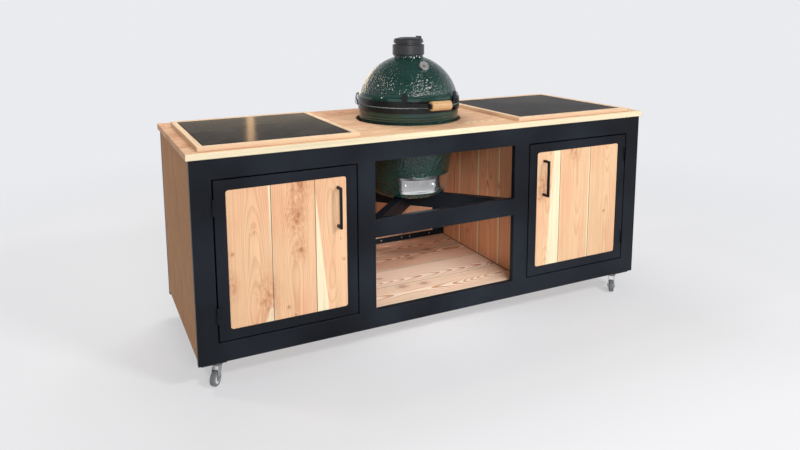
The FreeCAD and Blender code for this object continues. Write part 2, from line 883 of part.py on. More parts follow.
def fire_parts():
    """The fire box with its vents, the ring above it, the grate and the cooking grid."""
    bottom, middle, top = [(r, h + base_floor) for r, h in fire_box_outer]
    thick = fire_box_wall
    profile = [
        (fire_box_vent, bottom[1]), bottom, middle, top, (top[0] - thick, top[1]),
        (middle[0] - thick, middle[1]), (bottom[0] - thick + 8.0, bottom[1] + thick),
        (fire_box_vent, bottom[1] + thick),
    ]
    fire_box = ring(profile, grill_floor)
    vent = wedge(draft_turn - draft_window_left, draft_turn + draft_window_right,
                 fire_box_vent / 2.0, middle[0] + wall, bottom[1], bottom[1] + 3.0 * thick)
    save("fire_box", [fire_box.cut(vent)])
    z0 = top[1]
    z1 = z0 + fire_ring_height
    profile = [(fire_ring_inner, z0), (fire_ring_outer, z0), (fire_ring_outer, z1),
               (fire_ring_inner + 10.0, z1)]
    save("fire_ring", [ring(profile, grill_floor)])

    seat = bottom[1] + thick
    grate = Part.makeCylinder(grate_radius, grate_thickness, at_grill(0, 0, seat))
    steps = int(grate_radius // grate_hole_pitch)
    holes = []
    for i in range(-steps, steps + 1):
        for j in range(-steps, steps + 1):
            x = i * grate_hole_pitch
            y = j * grate_hole_pitch
            if math.hypot(x, y) + 2.0 * grate_hole_radius < grate_radius:
                holes.append(Part.makeCylinder(grate_hole_radius, grate_thickness,
                                               at_grill(x, y, seat)))
    save("fire_grate", [grate.cut(Part.makeCompound(holes))])

    grid = Part.makeCylinder(grid_radius, grid_thickness, at_grill(0, 0, z1))
    reach = grid_radius - grid_rim
    pitch = grid_bar + grid_slot
    count = int((2 * reach) // pitch)
    slots = []
    for index in range(count):
        x = (index - (count - 1) / 2.0) * pitch
        far = max(abs(x - grid_slot / 2.0), abs(x + grid_slot / 2.0))
        length = math.sqrt(max(reach * reach - far * far, 0.0))
        if length < 2.0 * grid_rib:
            continue
        for side in (-1, 1):
            y0, y1 = sorted((side * grid_rib / 2.0, side * length))
            corner = at_grill(x - grid_slot / 2.0, y0, z1)
            slots.append(Part.makeBox(grid_slot, y1 - y0, grid_thickness, corner))
    save("cooking_grid", [grid.cut(Part.makeCompound(slots))])


def band_profile(span):
    inner = rim_radius + band_gap
    return [(inner, span[0]), (inner + band_thickness, span[0]),
            (inner + band_thickness, span[1]), (inner, span[1])]


def lug(angle, z0, z1):
    """A flat plate that lies against a band at one angle from the front."""
    y = rim_radius + band_gap + band_thickness + band_gap
    half = lug_width / 2.0
    low = at_grill(-half, -y - lug_thickness, z0)
    plate = Part.makeBox(lug_width, lug_thickness, z1 - z0, low)
    return turned(plate, grill_floor, angle)


def hex_head(angle, height, stand_off):
    """A hexagon bolt head that points away from the grill's axis."""
    radius = band_bolt_head_radius
    points = []
    for index in range(6):
        a = math.radians(60.0 * index)
        points.append(at_grill(radius * math.cos(a), -stand_off, height + radius * math.sin(a)))
    head = face_of(points).extrude(V(0, -band_bolt_head_height, 0))
    return turned(head, grill_floor, angle)


def bands():
    """The two steel bands with the lugs and bolts that draw them tight."""
    stand_off = rim_radius + 2 * band_gap + band_thickness + lug_thickness
    save("lower_band", [ring(band_profile(lower_band), grill_floor)])
    save("upper_band", [ring(band_profile(upper_band), grill_floor)])
    clamps = []
    for angle in (-band_lug_turn, band_lug_turn):
        clamps.append(lug(angle, lower_band[0], lower_band[1]))
        clamps.append(hex_head(angle, sum(lower_band) / 2.0, stand_off))
    save("band_clamps", clamps)


def handle_bracket():
    """Two ears bolted to the upper band, their arms and end caps, and the rod in the grip."""
    start_r = rim_radius + 2 * band_gap + band_thickness
    a = math.radians(band_lug_turn)
    root = (start_r * math.sin(a), -start_r * math.cos(a))
    cap_x = grip_length / 2.0 + grip_end_gap
    tab_x = cap_x + grip_cap_thickness
    bend = -grip_reach + grip_cap_radius
    z0 = grip_height - arm_height / 2.0
    ear = lug(band_lug_turn, upper_band[0], upper_band[0] + ear_height)
    way = (tab_x - root[0], bend - root[1])
    size = math.hypot(way[0], way[1])
    side = (-way[1] / size * arm_thickness, way[0] / size * arm_thickness)
    first = (root[0] + math.sin(a) * lug_thickness / 2.0,
             root[1] - math.cos(a) * lug_thickness / 2.0)
    arm = face_of([
        at_grill(first[0], first[1], z0),
        at_grill(tab_x, bend, z0),
        at_grill(tab_x, -grip_reach - grip_cap_radius, z0),
        at_grill(tab_x + arm_thickness, -grip_reach - grip_cap_radius, z0),
        at_grill(tab_x + arm_thickness, bend, z0),
        at_grill(first[0] + side[0], first[1] + side[1], z0),
    ]).extrude(V(0, 0, arm_height))
    cap = rod(grip_cap_radius, at_grill(cap_x, -grip_reach, grip_height),
              at_grill(tab_x, -grip_reach, grip_height))
    bolt = hex_head(band_lug_turn, sum(upper_band) / 2.0, start_r + lug_thickness)
    right = fuse([ear, arm, cap, bolt])
    left = right.mirror(V(grill_x, 0, 0), V(1, 0, 0))
    ends = (at_grill(-cap_x, -grip_reach, grip_height), at_grill(cap_x, -grip_reach, grip_height))
    save("handle_bracket", [right, left, rod(grip_rod_radius, ends[0], ends[1])])

    half = grip_length / 2.0
    start = at_grill(-half, -grip_reach, grip_height)
    end = at_grill(half, -grip_reach, grip_height)
    grip = rod(grip_radius, start, end)
    grip = grip.makeFillet(3.0, [edge for edge in grip.Edges if len(edge.Vertexes) == 1])
    save("handle_grip", [grip.cut(rod(grip_rod_radius + grip_bore_clearance, start, end))])


def lid_dome():
    """The upper shell: straight rim, round dome and chimney neck."""
    start_h = dome_centre + math.sqrt(dome_radius ** 2 - dome_start_radius ** 2)
    neck_h = dome_centre + math.sqrt(dome_radius ** 2 - (neck_radius + 1.0) ** 2)
    inner_r = dome_radius - wall
    bottom = base_top + gasket_thickness
    inner_start = (math.sqrt(inner_r ** 2 - (bottom - dome_centre) ** 2), bottom)
    inner_neck = (flue_radius, dome_centre + math.sqrt(inner_r ** 2 - flue_radius ** 2))

    def on_sphere(radius, angle):
        a = math.radians(angle)
        return (radius * math.cos(a), dome_centre + radius * math.sin(a))

    edges = [
        line(inner_start, (rim_radius, bottom)),
        line((rim_radius, bottom), (rim_radius, lid_rim_top - 4.0)),
        line((rim_radius, lid_rim_top - 4.0), (rim_radius - 3.0, lid_rim_top)),
        line((rim_radius - 3.0, lid_rim_top), (dome_start_radius, start_h)),
        arc((dome_start_radius, start_h), on_sphere(dome_radius, 45.0), (neck_radius + 1.0, neck_h)),
        line((neck_radius + 1.0, neck_h), (neck_radius, neck_h + 4.0)),
        line((neck_radius, neck_h + 4.0), (neck_radius, neck_top)),
        line((neck_radius, neck_top), (flue_radius, neck_top)),
        line((flue_radius, neck_top), inner_neck),
        arc(inner_neck, on_sphere(inner_r, 45.0), inner_start),
    ]
    shell = turned_shell(edges)
    centre, way = dial_axis()
    stem_hole = Part.makeCylinder(stem_radius + stem_clearance, stem_length + wall, centre,
                                  way.negative())
    save("lid_dome", [shell.cut(stem_hole)])


def dial_axis():
    """Middle of the thermometer's back, and the way its face looks."""
    a = math.radians(dial_tilt)
    way = V(0, -math.cos(a), math.sin(a))
    centre = at_grill(0, -dial_reach, dial_height).sub(way * dial_depth)
    return centre, way


def thermometer():
    """Case with its stem, dial, needle on a post, and the glass in front."""
    centre, way = dial_axis()

    def level(height):
        return centre.add(way * height)

    case = Part.makeCylinder(dial_radius, dial_depth, centre, way)
    hollow = Part.makeCylinder(dial_radius - dial_wall, dial_depth - dial_wall,
                               level(dial_wall), way)
    stem = Part.makeCylinder(stem_radius, stem_length, centre, way.negative())
    post_top = dial_depth - lens_thickness - glass_clearance - needle_thickness
    post = Part.makeCylinder(needle_post_radius, post_top - dial_wall, level(dial_wall), way)
    boss = Part.makeCylinder(boss_radius, boss_length, centre, way.negative())
    dome_skin = Part.makeSphere(dome_radius + boss_gap, at_grill(0, 0, dome_centre))
    save("thermometer_case", [fuse([case.cut(hollow), boss.cut(dome_skin), stem, post])])

    radius = dial_radius - dial_wall - glass_clearance
    face = Part.makeCylinder(radius, dial_face_thickness, level(dial_wall), way)
    face_hole = Part.makeCylinder(needle_post_radius + glass_clearance, dial_face_thickness,
                                  level(dial_wall), way)
    save("thermometer_dial", [face.cut(face_hole)])
    lens = Part.makeCylinder(radius, lens_thickness, level(dial_depth - lens_thickness), way)
    save("thermometer_lens", [lens])

    low = dial_wall + dial_face_thickness + needle_lift
    hub = Part.makeCylinder(2.2 * needle_post_radius, needle_thickness, level(low), way)
    side = V(1, 0, 0)
    up = way.cross(side)
    tail = -needle_length * 0.3
    half = needle_width / 2.0
    points = [
        level(low).add(up * tail).add(side * half),
        level(low).add(up * needle_length),
        level(low).add(up * tail).sub(side * half),
    ]
    pointer = face_of(points).extrude(way * needle_thickness)
    bore = Part.makeCylinder(needle_post_radius + needle_running, needle_thickness, level(low), way)
    needle = fuse([hub, pointer]).cut(bore)
    save("thermometer_needle", [needle.rotated(centre, way, 125.0)])


def lid_hinge():
    """Lower plates and spring drum on the grill, upper arms on the lid, one long pin."""
    band_face = rim_radius + 2 * band_gap + band_thickness
    z_axis = lid_axis_height
    bore_radius = lid_pin_radius + lid_pin_running

    def saddle(half_width, span):
        """A curved plate that lies against a band behind the grill."""
        half_angle = math.degrees(math.asin(half_width / band_face)) + 1.0
        profile = [(band_face, span[0]), (band_face + saddle_thickness, span[0]),
                   (band_face + saddle_thickness, span[1]), (band_face, span[1])]
        return ring(profile, grill_floor, 180.0 - half_angle, 2.0 * half_angle)

    def cheek(x0, span, disc_radius):
        """A side plate from its saddle to the hinge pin."""
        far = max(abs(x0), abs(x0 + lid_plate))
        y0 = math.sqrt(band_face ** 2 - far ** 2) - saddle_thickness
        tall = disc_radius * 0.9
        near = hinge_reach - disc_radius * 0.3
        strap = face_of([
            at_grill(x0, y0, span[0]), at_grill(x0, near, z_axis - tall),
            at_grill(x0, hinge_reach, z_axis - tall), at_grill(x0, hinge_reach, z_axis + tall),
            at_grill(x0, near, z_axis + tall), at_grill(x0, y0, span[1]),
        ]).extrude(V(lid_plate, 0, 0))
        disc = rod(disc_radius, at_grill(x0, hinge_reach, z_axis),
                   at_grill(x0 + lid_plate, hinge_reach, z_axis))
        return fuse([strap, disc])

    inside = Part.makeCylinder(band_face, base_top, at_grill(0, 0, base_top / 2.0))
    bore = rod(bore_radius, at_grill(-2 * lower_plate_x, hinge_reach, z_axis),
               at_grill(2 * lower_plate_x, hinge_reach, z_axis))
    for node, plate_x, span, radius in (
            ("lid_hinge_plates", lower_plate_x, lower_band, lower_disc_radius),
            ("lid_hinge_arms", upper_arm_x, upper_band, upper_disc_radius)):
        pieces = [saddle(plate_x + lid_plate, span)]
        for x0 in (-plate_x - lid_plate, plate_x):
            pieces.append(cheek(x0, span, radius))
        save(node, [fuse(pieces).cut(inside).cut(bore)])

    end = lower_plate_x + lid_plate + lid_pin_overhang
    pin = rod(lid_pin_radius, at_grill(-end, hinge_reach, z_axis),
              at_grill(end, hinge_reach, z_axis))
    drum_radius = spring_mean_radius - spring_wire / 2.0 - spring_seat_gap
    drum_end = upper_arm_x - spring_seat_gap
    drum = rod(drum_radius, at_grill(-drum_end, hinge_reach, z_axis),
               at_grill(drum_end, hinge_reach, z_axis))
    heads = []
    for side in (-1, 1):
        x0, x1 = sorted((side * (end - lid_pin_overhang + spring_seat_gap), side * end))
        heads.append(rod(2.0 * lid_pin_radius, at_grill(x0, hinge_reach, z_axis),
                         at_grill(x1, hinge_reach, z_axis)))
    save("lid_hinge_pin", [fuse([pin, drum] + heads)])


def spring_coil(x_start):
    """One coil wound on the drum: quarter turns joined end to end, one unbroken wire."""
    quarters = 4 * spring_turns
    edges = []

    def point(turn):
        a = 2.0 * math.pi * turn
        return at_grill(x_start + spring_pitch * turn,
                        hinge_reach + spring_mean_radius * math.cos(a),
                        lid_axis_height + spring_mean_radius * math.sin(a))

    for index in range(quarters):
        t0 = index / 4.0
        edges.append(Part.Arc(point(t0), point(t0 + 0.125), point(t0 + 0.25)).toShape())
    path = Part.Wire(edges)
    start = point(0.0)
    tangent = edges[0].tangentAt(edges[0].FirstParameter)
    circle = Part.Wire(Part.makeCircle(spring_wire / 2.0, start, tangent))
    return path.makePipeShell([circle], True, False)


def least_spring_gap():
    """Least gap between one turn of the wire and the next, measured on points."""
    steps = 48
    line_points = []
    for index in range(2 * steps):
        a = 2.0 * math.pi * index / steps
        line_points.append(V(spring_pitch * index / steps, spring_mean_radius * math.cos(a),
                             spring_mean_radius * math.sin(a)))
    least = min(line_points[i].sub(line_points[j]).Length
                for i in range(steps) for j in range(i + steps // 2, 2 * steps))
    return least - spring_wire


def springs():
    length = spring_turns * spring_pitch
    x0 = -upper_arm_x + spring_end_gap + spring_wire / 2.0
    coils = [spring_coil(x0), spring_coil(-x0 - length)]
    print("springs:", 2 * spring_turns, "turns, least gap", round(least_spring_gap(), 3))
    save("lid_hinge_springs", coils)


def draft_door():
    """Curved plate with two lipped rails, and the door that slides round between them."""
    def cone_strip(z0, z1, inner, outer):
        return [(wall_radius(z0) + inner, z0), (wall_radius(z0) + outer, z0),
                (wall_radius(z1) + outer, z1), (wall_radius(z1) + inner, z1)]

    low_angle = draft_turn - draft_plate_left
    sweep = draft_plate_left + draft_plate_right
    plate_out = draft_fit + draft_plate
    slide_in = plate_out + draft_fit
    slide_out = slide_in + draft_plate
    lip_in = slide_out + draft_fit
    lip_out = lip_in + draft_lip
    z0, z1 = draft_bottom, draft_top
    lip = 2.0 * draft_rail

    plate = ring(cone_strip(z0, z1, draft_fit, plate_out), grill_floor, low_angle, sweep)
    window = wedge(draft_turn - draft_window_left, draft_turn + draft_window_right,
                   cone_bottom[0] - wall, cone_top[0] + 2.0 * wall,
                   z0 + draft_window_margin, z1 - draft_window_margin)
    rails = [
        ring(cone_strip(z0, z0 + draft_rail, plate_out, lip_out), grill_floor, low_angle, sweep),
        ring(cone_strip(z1 - draft_rail, z1, plate_out, lip_out), grill_floor, low_angle, sweep),
        ring(cone_strip(z0, z0 + lip, lip_in, lip_out), grill_floor, low_angle, sweep),
        ring(cone_strip(z1 - lip, z1, lip_in, lip_out), grill_floor, low_angle, sweep),
    ]
    frame = fuse([plate.cut(window)] + rails)
    screws = []
    for angle in (low_angle + 3.0, low_angle + sweep - 3.0):
        for height in (z0 + draft_rail, z1 - draft_rail):
            radius = wall_radius(height) + lip_out - draft_lip / 2.0
            start = at_grill(0, -radius, height)
            rise = draft_screw_height + draft_lip / 2.0
            head = rod(draft_screw_radius, start, start.add(V(0, -rise, 0)))
            screws.append(turned(head, grill_floor, angle))
    save("draft_frame", [fuse([frame] + screws)])

    gap = draft_rail + draft_fit
    first = draft_turn - draft_slide_left
    last = draft_turn + draft_slide_right
    slide = ring(cone_strip(z0 + gap, z1 - gap, slide_in, slide_out), grill_floor,
                 first, last - first)
    middle = (z0 + z1) / 2.0
    radius = wall_radius(middle) + slide_in + draft_plate / 2.0
    knobs = []
    for angle in (first + draft_knob_inset, last - draft_knob_inset):
        knob = rod(draft_knob_radius, at_grill(0, -radius, middle),
                   at_grill(0, -radius - draft_knob_height, middle))
        knobs.append(turned(knob, grill_floor, angle))
    save("draft_slide", [fuse([slide] + knobs)])


def chimney_cap():
    """The cap body over the neck, and its hinged lid."""
    inner = neck_radius + cap_fit
    seat = neck_top + cap_fit
    profile = [
        (inner, cap_bottom), (cap_radius - cap_edge, cap_bottom),
        (cap_radius, cap_bottom + cap_edge), (cap_radius, cap_deck - cap_edge),
        (cap_radius - cap_edge, cap_deck), (cap_collar_radius, cap_deck),
        (cap_collar_radius, cap_deck + cap_collar_height),
        (cap_hole_radius, cap_deck + cap_collar_height), (cap_hole_radius, seat), (inner, seat),
    ]
    body = ring(profile, grill_floor)
    axis_z = cap_deck + cap_collar_height + cap_knuckle_radius
    reach = cap_axis_reach

    def knuckle(x0, x1):
        return rod(cap_knuckle_radius, at_grill(x0, reach, axis_z), at_grill(x1, reach, axis_z))

    half = cap_knuckle_length / 2.0
    ears = []
    for side in (-1, 1):
        x0, x1 = sorted((side * (half + cap_lid_gap), side * (half + cap_lid_gap + cap_ear_length)))
        web_low = at_grill(x0, cap_collar_radius, cap_deck - 2.0 * cap_knuckle_radius)
        web = Part.makeBox(x1 - x0, reach - cap_collar_radius + cap_knuckle_radius,
                           axis_z - cap_deck + 2.0 * cap_knuckle_radius, web_low)
        keep_out = Part.makeCylinder(cap_lid_radius + 1.0, 4.0 * cap_knuckle_radius,
                                     at_grill(0, 0, cap_deck + cap_collar_height))
        ears.append(fuse([knuckle(x0, x1), web]).cut(keep_out))
    end = half + cap_lid_gap + cap_ear_length
    pin = rod(cap_pin_radius, at_grill(-end, reach, axis_z), at_grill(end, reach, axis_z))
    neck_void = Part.makeCylinder(inner, seat - cap_bottom, at_grill(0, 0, cap_bottom))
    save("cap_body", [fuse([body] + ears + [pin]).cut(neck_void)])

    low = cap_deck + cap_collar_height + cap_lid_gap
    top = low + cap_lid_thickness
    profile = [
        (0, low), (cap_lid_radius - 1.0, low), (cap_lid_radius, low + 1.0),
        (cap_lid_radius, low + cap_lid_thickness * 0.4),
        (cap_lid_radius - cap_lid_step, low + cap_lid_thickness * 0.5),
        (cap_lid_radius - cap_lid_step, top - 2.0 * cap_edge),
        (cap_lid_radius - cap_lid_step - 4.0, top - 1.5), (cap_lid_radius - 14.0, top),
        (cap_lid_radius - 34.0, top + cap_lid_crown * 0.7), (0, top + cap_lid_crown),
    ]
    lid = ring(profile, grill_floor)
    tab_low = at_grill(cap_lid_radius - 10.0 - tab_length, -tab_width / 2.0, top - 6.0)
    tab = Part.makeBox(tab_length, tab_width, 6.0 + tab_rise, tab_low)
    tab = tab.makeFillet(3.0, edges_along(tab, 1, lambda c: c.z > tab_low.z + 1.0))
    arm_low = at_grill(-half, cap_lid_radius - 14.0, axis_z - cap_knuckle_radius + cap_lid_gap)
    arm = Part.makeBox(cap_knuckle_length, reach - cap_lid_radius + 14.0,
                       2.0 * cap_knuckle_radius - cap_lid_gap, arm_low)
    bore = rod(cap_pin_radius + cap_running, at_grill(-half, reach, axis_z),
               at_grill(half, reach, axis_z))
    save("cap_lid", [fuse([lid, tab, arm, knuckle(-half, half)]).cut(bore)])


frame_panels()
cross_rails()
grill_cradle()
cladding()
rear_infill()
floors()
worktop()
trays()
doors()
casters()
grill_base()
fire_parts()
bands()
handle_bracket()
lid_dome()
thermometer()
lid_hinge()
springs()
draft_door()
chimney_cap()
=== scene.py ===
import contextlib
import json
import math

import bmesh
import bpy
from mathutils import Matrix, Vector

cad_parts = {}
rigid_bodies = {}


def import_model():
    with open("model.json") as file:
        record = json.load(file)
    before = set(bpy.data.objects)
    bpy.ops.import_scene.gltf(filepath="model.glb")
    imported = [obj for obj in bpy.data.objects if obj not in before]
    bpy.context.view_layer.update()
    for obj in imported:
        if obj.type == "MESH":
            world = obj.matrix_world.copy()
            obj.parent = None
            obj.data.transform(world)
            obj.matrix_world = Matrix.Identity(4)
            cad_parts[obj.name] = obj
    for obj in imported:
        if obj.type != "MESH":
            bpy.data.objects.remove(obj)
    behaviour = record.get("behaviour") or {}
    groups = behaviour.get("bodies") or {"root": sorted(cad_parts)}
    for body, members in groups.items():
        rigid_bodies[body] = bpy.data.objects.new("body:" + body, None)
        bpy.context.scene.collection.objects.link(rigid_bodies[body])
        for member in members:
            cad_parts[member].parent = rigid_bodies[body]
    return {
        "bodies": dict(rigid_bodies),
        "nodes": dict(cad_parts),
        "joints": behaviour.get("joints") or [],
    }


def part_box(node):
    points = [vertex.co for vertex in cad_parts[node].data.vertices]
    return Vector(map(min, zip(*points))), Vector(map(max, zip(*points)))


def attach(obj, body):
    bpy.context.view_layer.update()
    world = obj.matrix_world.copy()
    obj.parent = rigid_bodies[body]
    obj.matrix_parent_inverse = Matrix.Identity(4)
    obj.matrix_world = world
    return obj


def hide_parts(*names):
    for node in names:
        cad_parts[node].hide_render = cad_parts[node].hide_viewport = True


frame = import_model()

bl_info = {
    "name": "Kamado grill table",
    "version": (1, 0, 0),
    "blender": (4, 5, 0),
    "location": "3D View > Sidebar > Grill table",
    "description": "Finishes and small fittings of an outdoor cooking table with a kamado grill",
    "category": "Object",
}

# Places read from the frame, in metres
NODES = frame["nodes"]
JOINTS = {joint["name"]: joint for joint in frame["joints"]}
GRILL_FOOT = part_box("grill_base")[0].z
LID_PIN = Vector(JOINTS["lid_hinge"]["pos_m"])
DIAL_OUT = -Vector(JOINTS["thermometer_needle"]["axis"])
DIAL_UP = DIAL_OUT.cross(Vector((1, 0, 0)))
CORNERS = ("front_left", "front_right", "rear_left", "rear_right")


def srgb(code):
    """A colour as it reads on screen, in linear red, green and blue."""
    parts = [int(code[i:i + 2], 16) / 255 for i in (0, 2, 4)]
    return tuple(p / 12.92 if p <= 0.04045 else ((p + 0.055) / 1.055) ** 2.4 for p in parts)


def colour(name, description, code):
    return bpy.props.FloatVectorProperty(
        name=name, description=description, subtype="COLOR", size=3, min=0, max=1,
        default=srgb(code))


def number(name, description, default, unit="NONE", precision=3):
    return bpy.props.FloatProperty(name=name, description=description, default=default, min=0,
                                   unit=unit, precision=precision)


def length(name, description, default):
    return number(name, description, default, "LENGTH", 4)


def watts(name, description, default):
    return number(name, description, default, "POWER")


class GrillTableColours(bpy.types.PropertyGroup):
    """Colours of the finishes."""

    heartwood: colour("Heartwood", "Early growth of the boards", "f0cba3")
    heartwood_pink: colour("Pink heartwood", "Early growth of the redder boards", "e6b490")
    late_wood: colour("Late growth", "Darker growth lines", "d9aa7e")
    late_wood_red: colour("Red late growth", "Darker growth lines of the redder boards", "c38560")
    sapwood: colour("Sapwood", "Pale wood from the outside of the log", "f3e5c6")
    sapwood_line: colour("Sapwood lines", "Growth lines in the pale wood", "e9d7ae")
    knot: colour("Knots", "Knots and the wood round them", "96543a")
    steel: colour("Frame coat", "Powder coat of the frame and doors", "0e1117")
    steel_cloud_and_sheen: colour("Frame coat, light", "Paler areas of the powder coat", "1f242c")
    glaze: colour("Glaze", "Green glaze where it lies deep", "0c2b26")
    glaze_thin: colour("Thin glaze", "Green glaze on the ridges", "1e4d44")
    stone: colour("Stone", "Body of the slabs", "232120")
    stone_light: colour("Stone, light", "Paler grains of the slabs", "4a443d")
    grip: colour("Grip", "Turned wood of the lid handle", "cda473")
    tyre: colour("Tyre", "Rolling surface of the casters", "6f7276")
    background: colour("Background", "Floor and surroundings", "eaebef")


class GrillTableSizes(bpy.types.PropertyGroup):
    """Sizes of small detail."""

    growth: length("Growth width", "Spacing of the boards' growth lines", 0.0036)
    dimple: length("Dimple pitch", "Spacing of the dimples in the glaze", 0.0095)
    spring_wire: length("Spring wire", "Thickness of the lid springs' wire", 0.006)
    spring_radius: length("Spring radius", "From the pin to the middle of the wire", 0.022)
    tick: length("Dial mark", "Length of a long mark on the dial", 0.0032)
    numeral: length("Numeral height", "Height of the dial's numbers", 0.0042)
    bolt: length("Bolt head", "Width of the button heads at the hinge", 0.009)


class GrillTableStage(bpy.types.PropertyGroup):
    """Light and camera."""

    ambient: number("Surrounding light", "Strength of the light from all round", 0.36)
    key: watts("Main lamp", "Power of the main lamp", 168.0)
    front: watts("Front lamp", "Power of the low lamp in front", 70.0)
    fill: watts("Fill lamp", "Power of the fill lamp", 27.0)
    top: watts("Top lamp", "Power of the lamp overhead", 66.0)
    strip: watts("Warm strip", "Power of the warm strip behind", 0.06)
    glow: watts("Warm glow", "Power of the wide warm lamp behind", 4.0)
    bay: watts("Bay lamp", "Power of the narrow lamp on the open shelf", 1.1)
    lens: number("Lens", "Focal length of the camera", 29.978, "CAMERA")


def colours():
    return bpy.context.scene.grill_table_colours


def sizes():
    return bpy.context.scene.grill_table_sizes


class Val:
    """A shader value. Plain arithmetic on it adds the Math nodes."""

    def __init__(self, nodes, socket):
        self.nodes, self.socket = nodes, socket

    def maths(self, operation, *values):
        return self.nodes.add("ShaderNodeMath", {"operation": operation}, values)

    def __add__(self, other):
        return self.maths("ADD", self, other)

    def __sub__(self, other):
        return self.maths("SUBTRACT", self, other)

    def __rsub__(self, other):
        return self.maths("SUBTRACT", other, self)

    def __mul__(self, other):
        return self.maths("MULTIPLY", self, other)

    def __gt__(self, other):
        return self.maths("GREATER_THAN", self, other)

    def __lt__(self, other):
        return self.maths("LESS_THAN", self, other)

    def __abs__(self):
        return self.maths("ABSOLUTE", self)

    __radd__, __rmul__ = __add__, __mul__

    def root(self):
        return self.maths("SQRT", self)

    def fract(self):
        return self.maths("FRACT", self)

    def most(self, other):
        return self.maths("MAXIMUM", self, other)

    def least(self, other):
        return self.maths("MINIMUM", self, other)

    def bell(self, rate):
        """1 where the value is 0, falling off faster at a greater rate."""
        return self.maths("POWER", 2.718, self * -rate)

    def ease(self, start, end):
        """0 before start and 1 after end, smooth in between; the other way round if end is less."""
        return self.nodes.add("ShaderNodeMapRange", {"interpolation_type": "SMOOTHSTEP"},
                              {"Value": self, "From Min": start, "From Max": end})

    def split(self):
        node = self.nodes.add("ShaderNodeSeparateXYZ", None, (self,)).socket.node
        return [Val(self.nodes, out) for out in node.outputs]


class Nodes:
    """Adds nodes to one tree."""

    def __init__(self, tree):
        tree.nodes.clear()
        self.tree = tree

    def add(self, kind, settings=None, inputs=(), output=0):
        node = self.tree.nodes.new(kind)
        for key, value in (settings or {}).items():
            setattr(node, key, value)
        for key, value in inputs.items() if isinstance(inputs, dict) else enumerate(inputs):
            socket = node.inputs[key]
            if isinstance(value, Val):
                self.tree.links.new(value.socket, socket)
            elif socket.type == "RGBA":
                socket.default_value = (*value, 1.0)
            else:
                socket.default_value = value
        return Val(self, node.outputs[output]) if node.outputs else None

    def point(self, x, y, z):
        return self.add("ShaderNodeCombineXYZ", None, (x, y, z))

    def noise(self, vector, scale=1.0, detail=2.0, rough=0.5):
        return self.add("ShaderNodeTexNoise", None, {
            "Vector": vector, "Scale": scale, "Detail": detail, "Roughness": rough})

    def blend(self, first, second, share, how="MIX"):
        return self.add("ShaderNodeMix", {"data_type": "RGBA", "blend_type": how},
                        {0: share, 6: first, 7: second}, 2)

    def shade(self, tint, value):
        """A colour made lighter or darker by a value."""
        return self.add("ShaderNodeVectorMath", {"operation": "SCALE"}, {0: tint, "Scale": value})

    def bump(self, height, depth, strength=1.0, below=None):
        inputs = {"Height": height, "Distance": depth, "Strength": strength}
        if below:
            inputs["Normal"] = below
        return self.add("ShaderNodeBump", None, inputs)


class Finish(Nodes):
    """A material with one principled shader, its pattern laid out in the object's own metres."""

    def __init__(self, name):
        self.material = bpy.data.materials.new(name)
        self.material.use_nodes = True
        super().__init__(self.material.node_tree)
        self.here = self.add("ShaderNodeTexCoord", None, (), "Object")
        self.x, self.y, self.z = self.here.split()

    def surface(self, **sockets):
        """Sets the shader's sockets, with underscores for spaces, and returns the material."""
        named = {key.replace("_", " ").replace("IOR level", "IOR Level"): value
                 for key, value in sockets.items()}
        shader = self.add("ShaderNodeBsdfPrincipled", None, named)
        self.add("ShaderNodeOutputMaterial", None, {"Surface": shader})
        return self.material


def dress(material, *names):
    """Gives CAD nodes a material."""
    for name in names:
        materials = NODES[name].data.materials
        if not materials:
            materials.append(material)
        for index in range(len(materials)):
            materials[index] = material


# Timber

NOWHERE = 9.0  # past every board, in metres


def side_by_side(grain, across, edges, level, apart=None):
    """Boards in a row, their grain along one axis.

    Edges are the joints and level is how far off the axis the boards' middles lie. Apart
    names an axis that has other boards on each side."""
    def layout(f):
        axes = {"X": f.x, "Y": f.y, "Z": f.z}
        along, over = axes[grain], axes[across]
        (through,) = (axes[name] for name in "XYZ" if name not in grain + across)
        count, middle, joint_and_shadow_gap = 0.0, (edges[0] + edges[1]) / 2, 1.0
        for before, joint, after in zip(edges, edges[1:], edges[2:]):
            past = over > joint
            count = past + count
            middle = past * ((after - before) / 2) + middle
            joint_and_shadow_gap = abs(over - joint).least(joint_and_shadow_gap)
        if apart:
            count = (axes[apart] > 0.0) * 17.0 + count
        return along, over - middle, abs(through) - level, count, over, joint_and_shadow_gap
    return layout


def every(start, step, count):
    return [start + step * i for i in range(count + 1)]


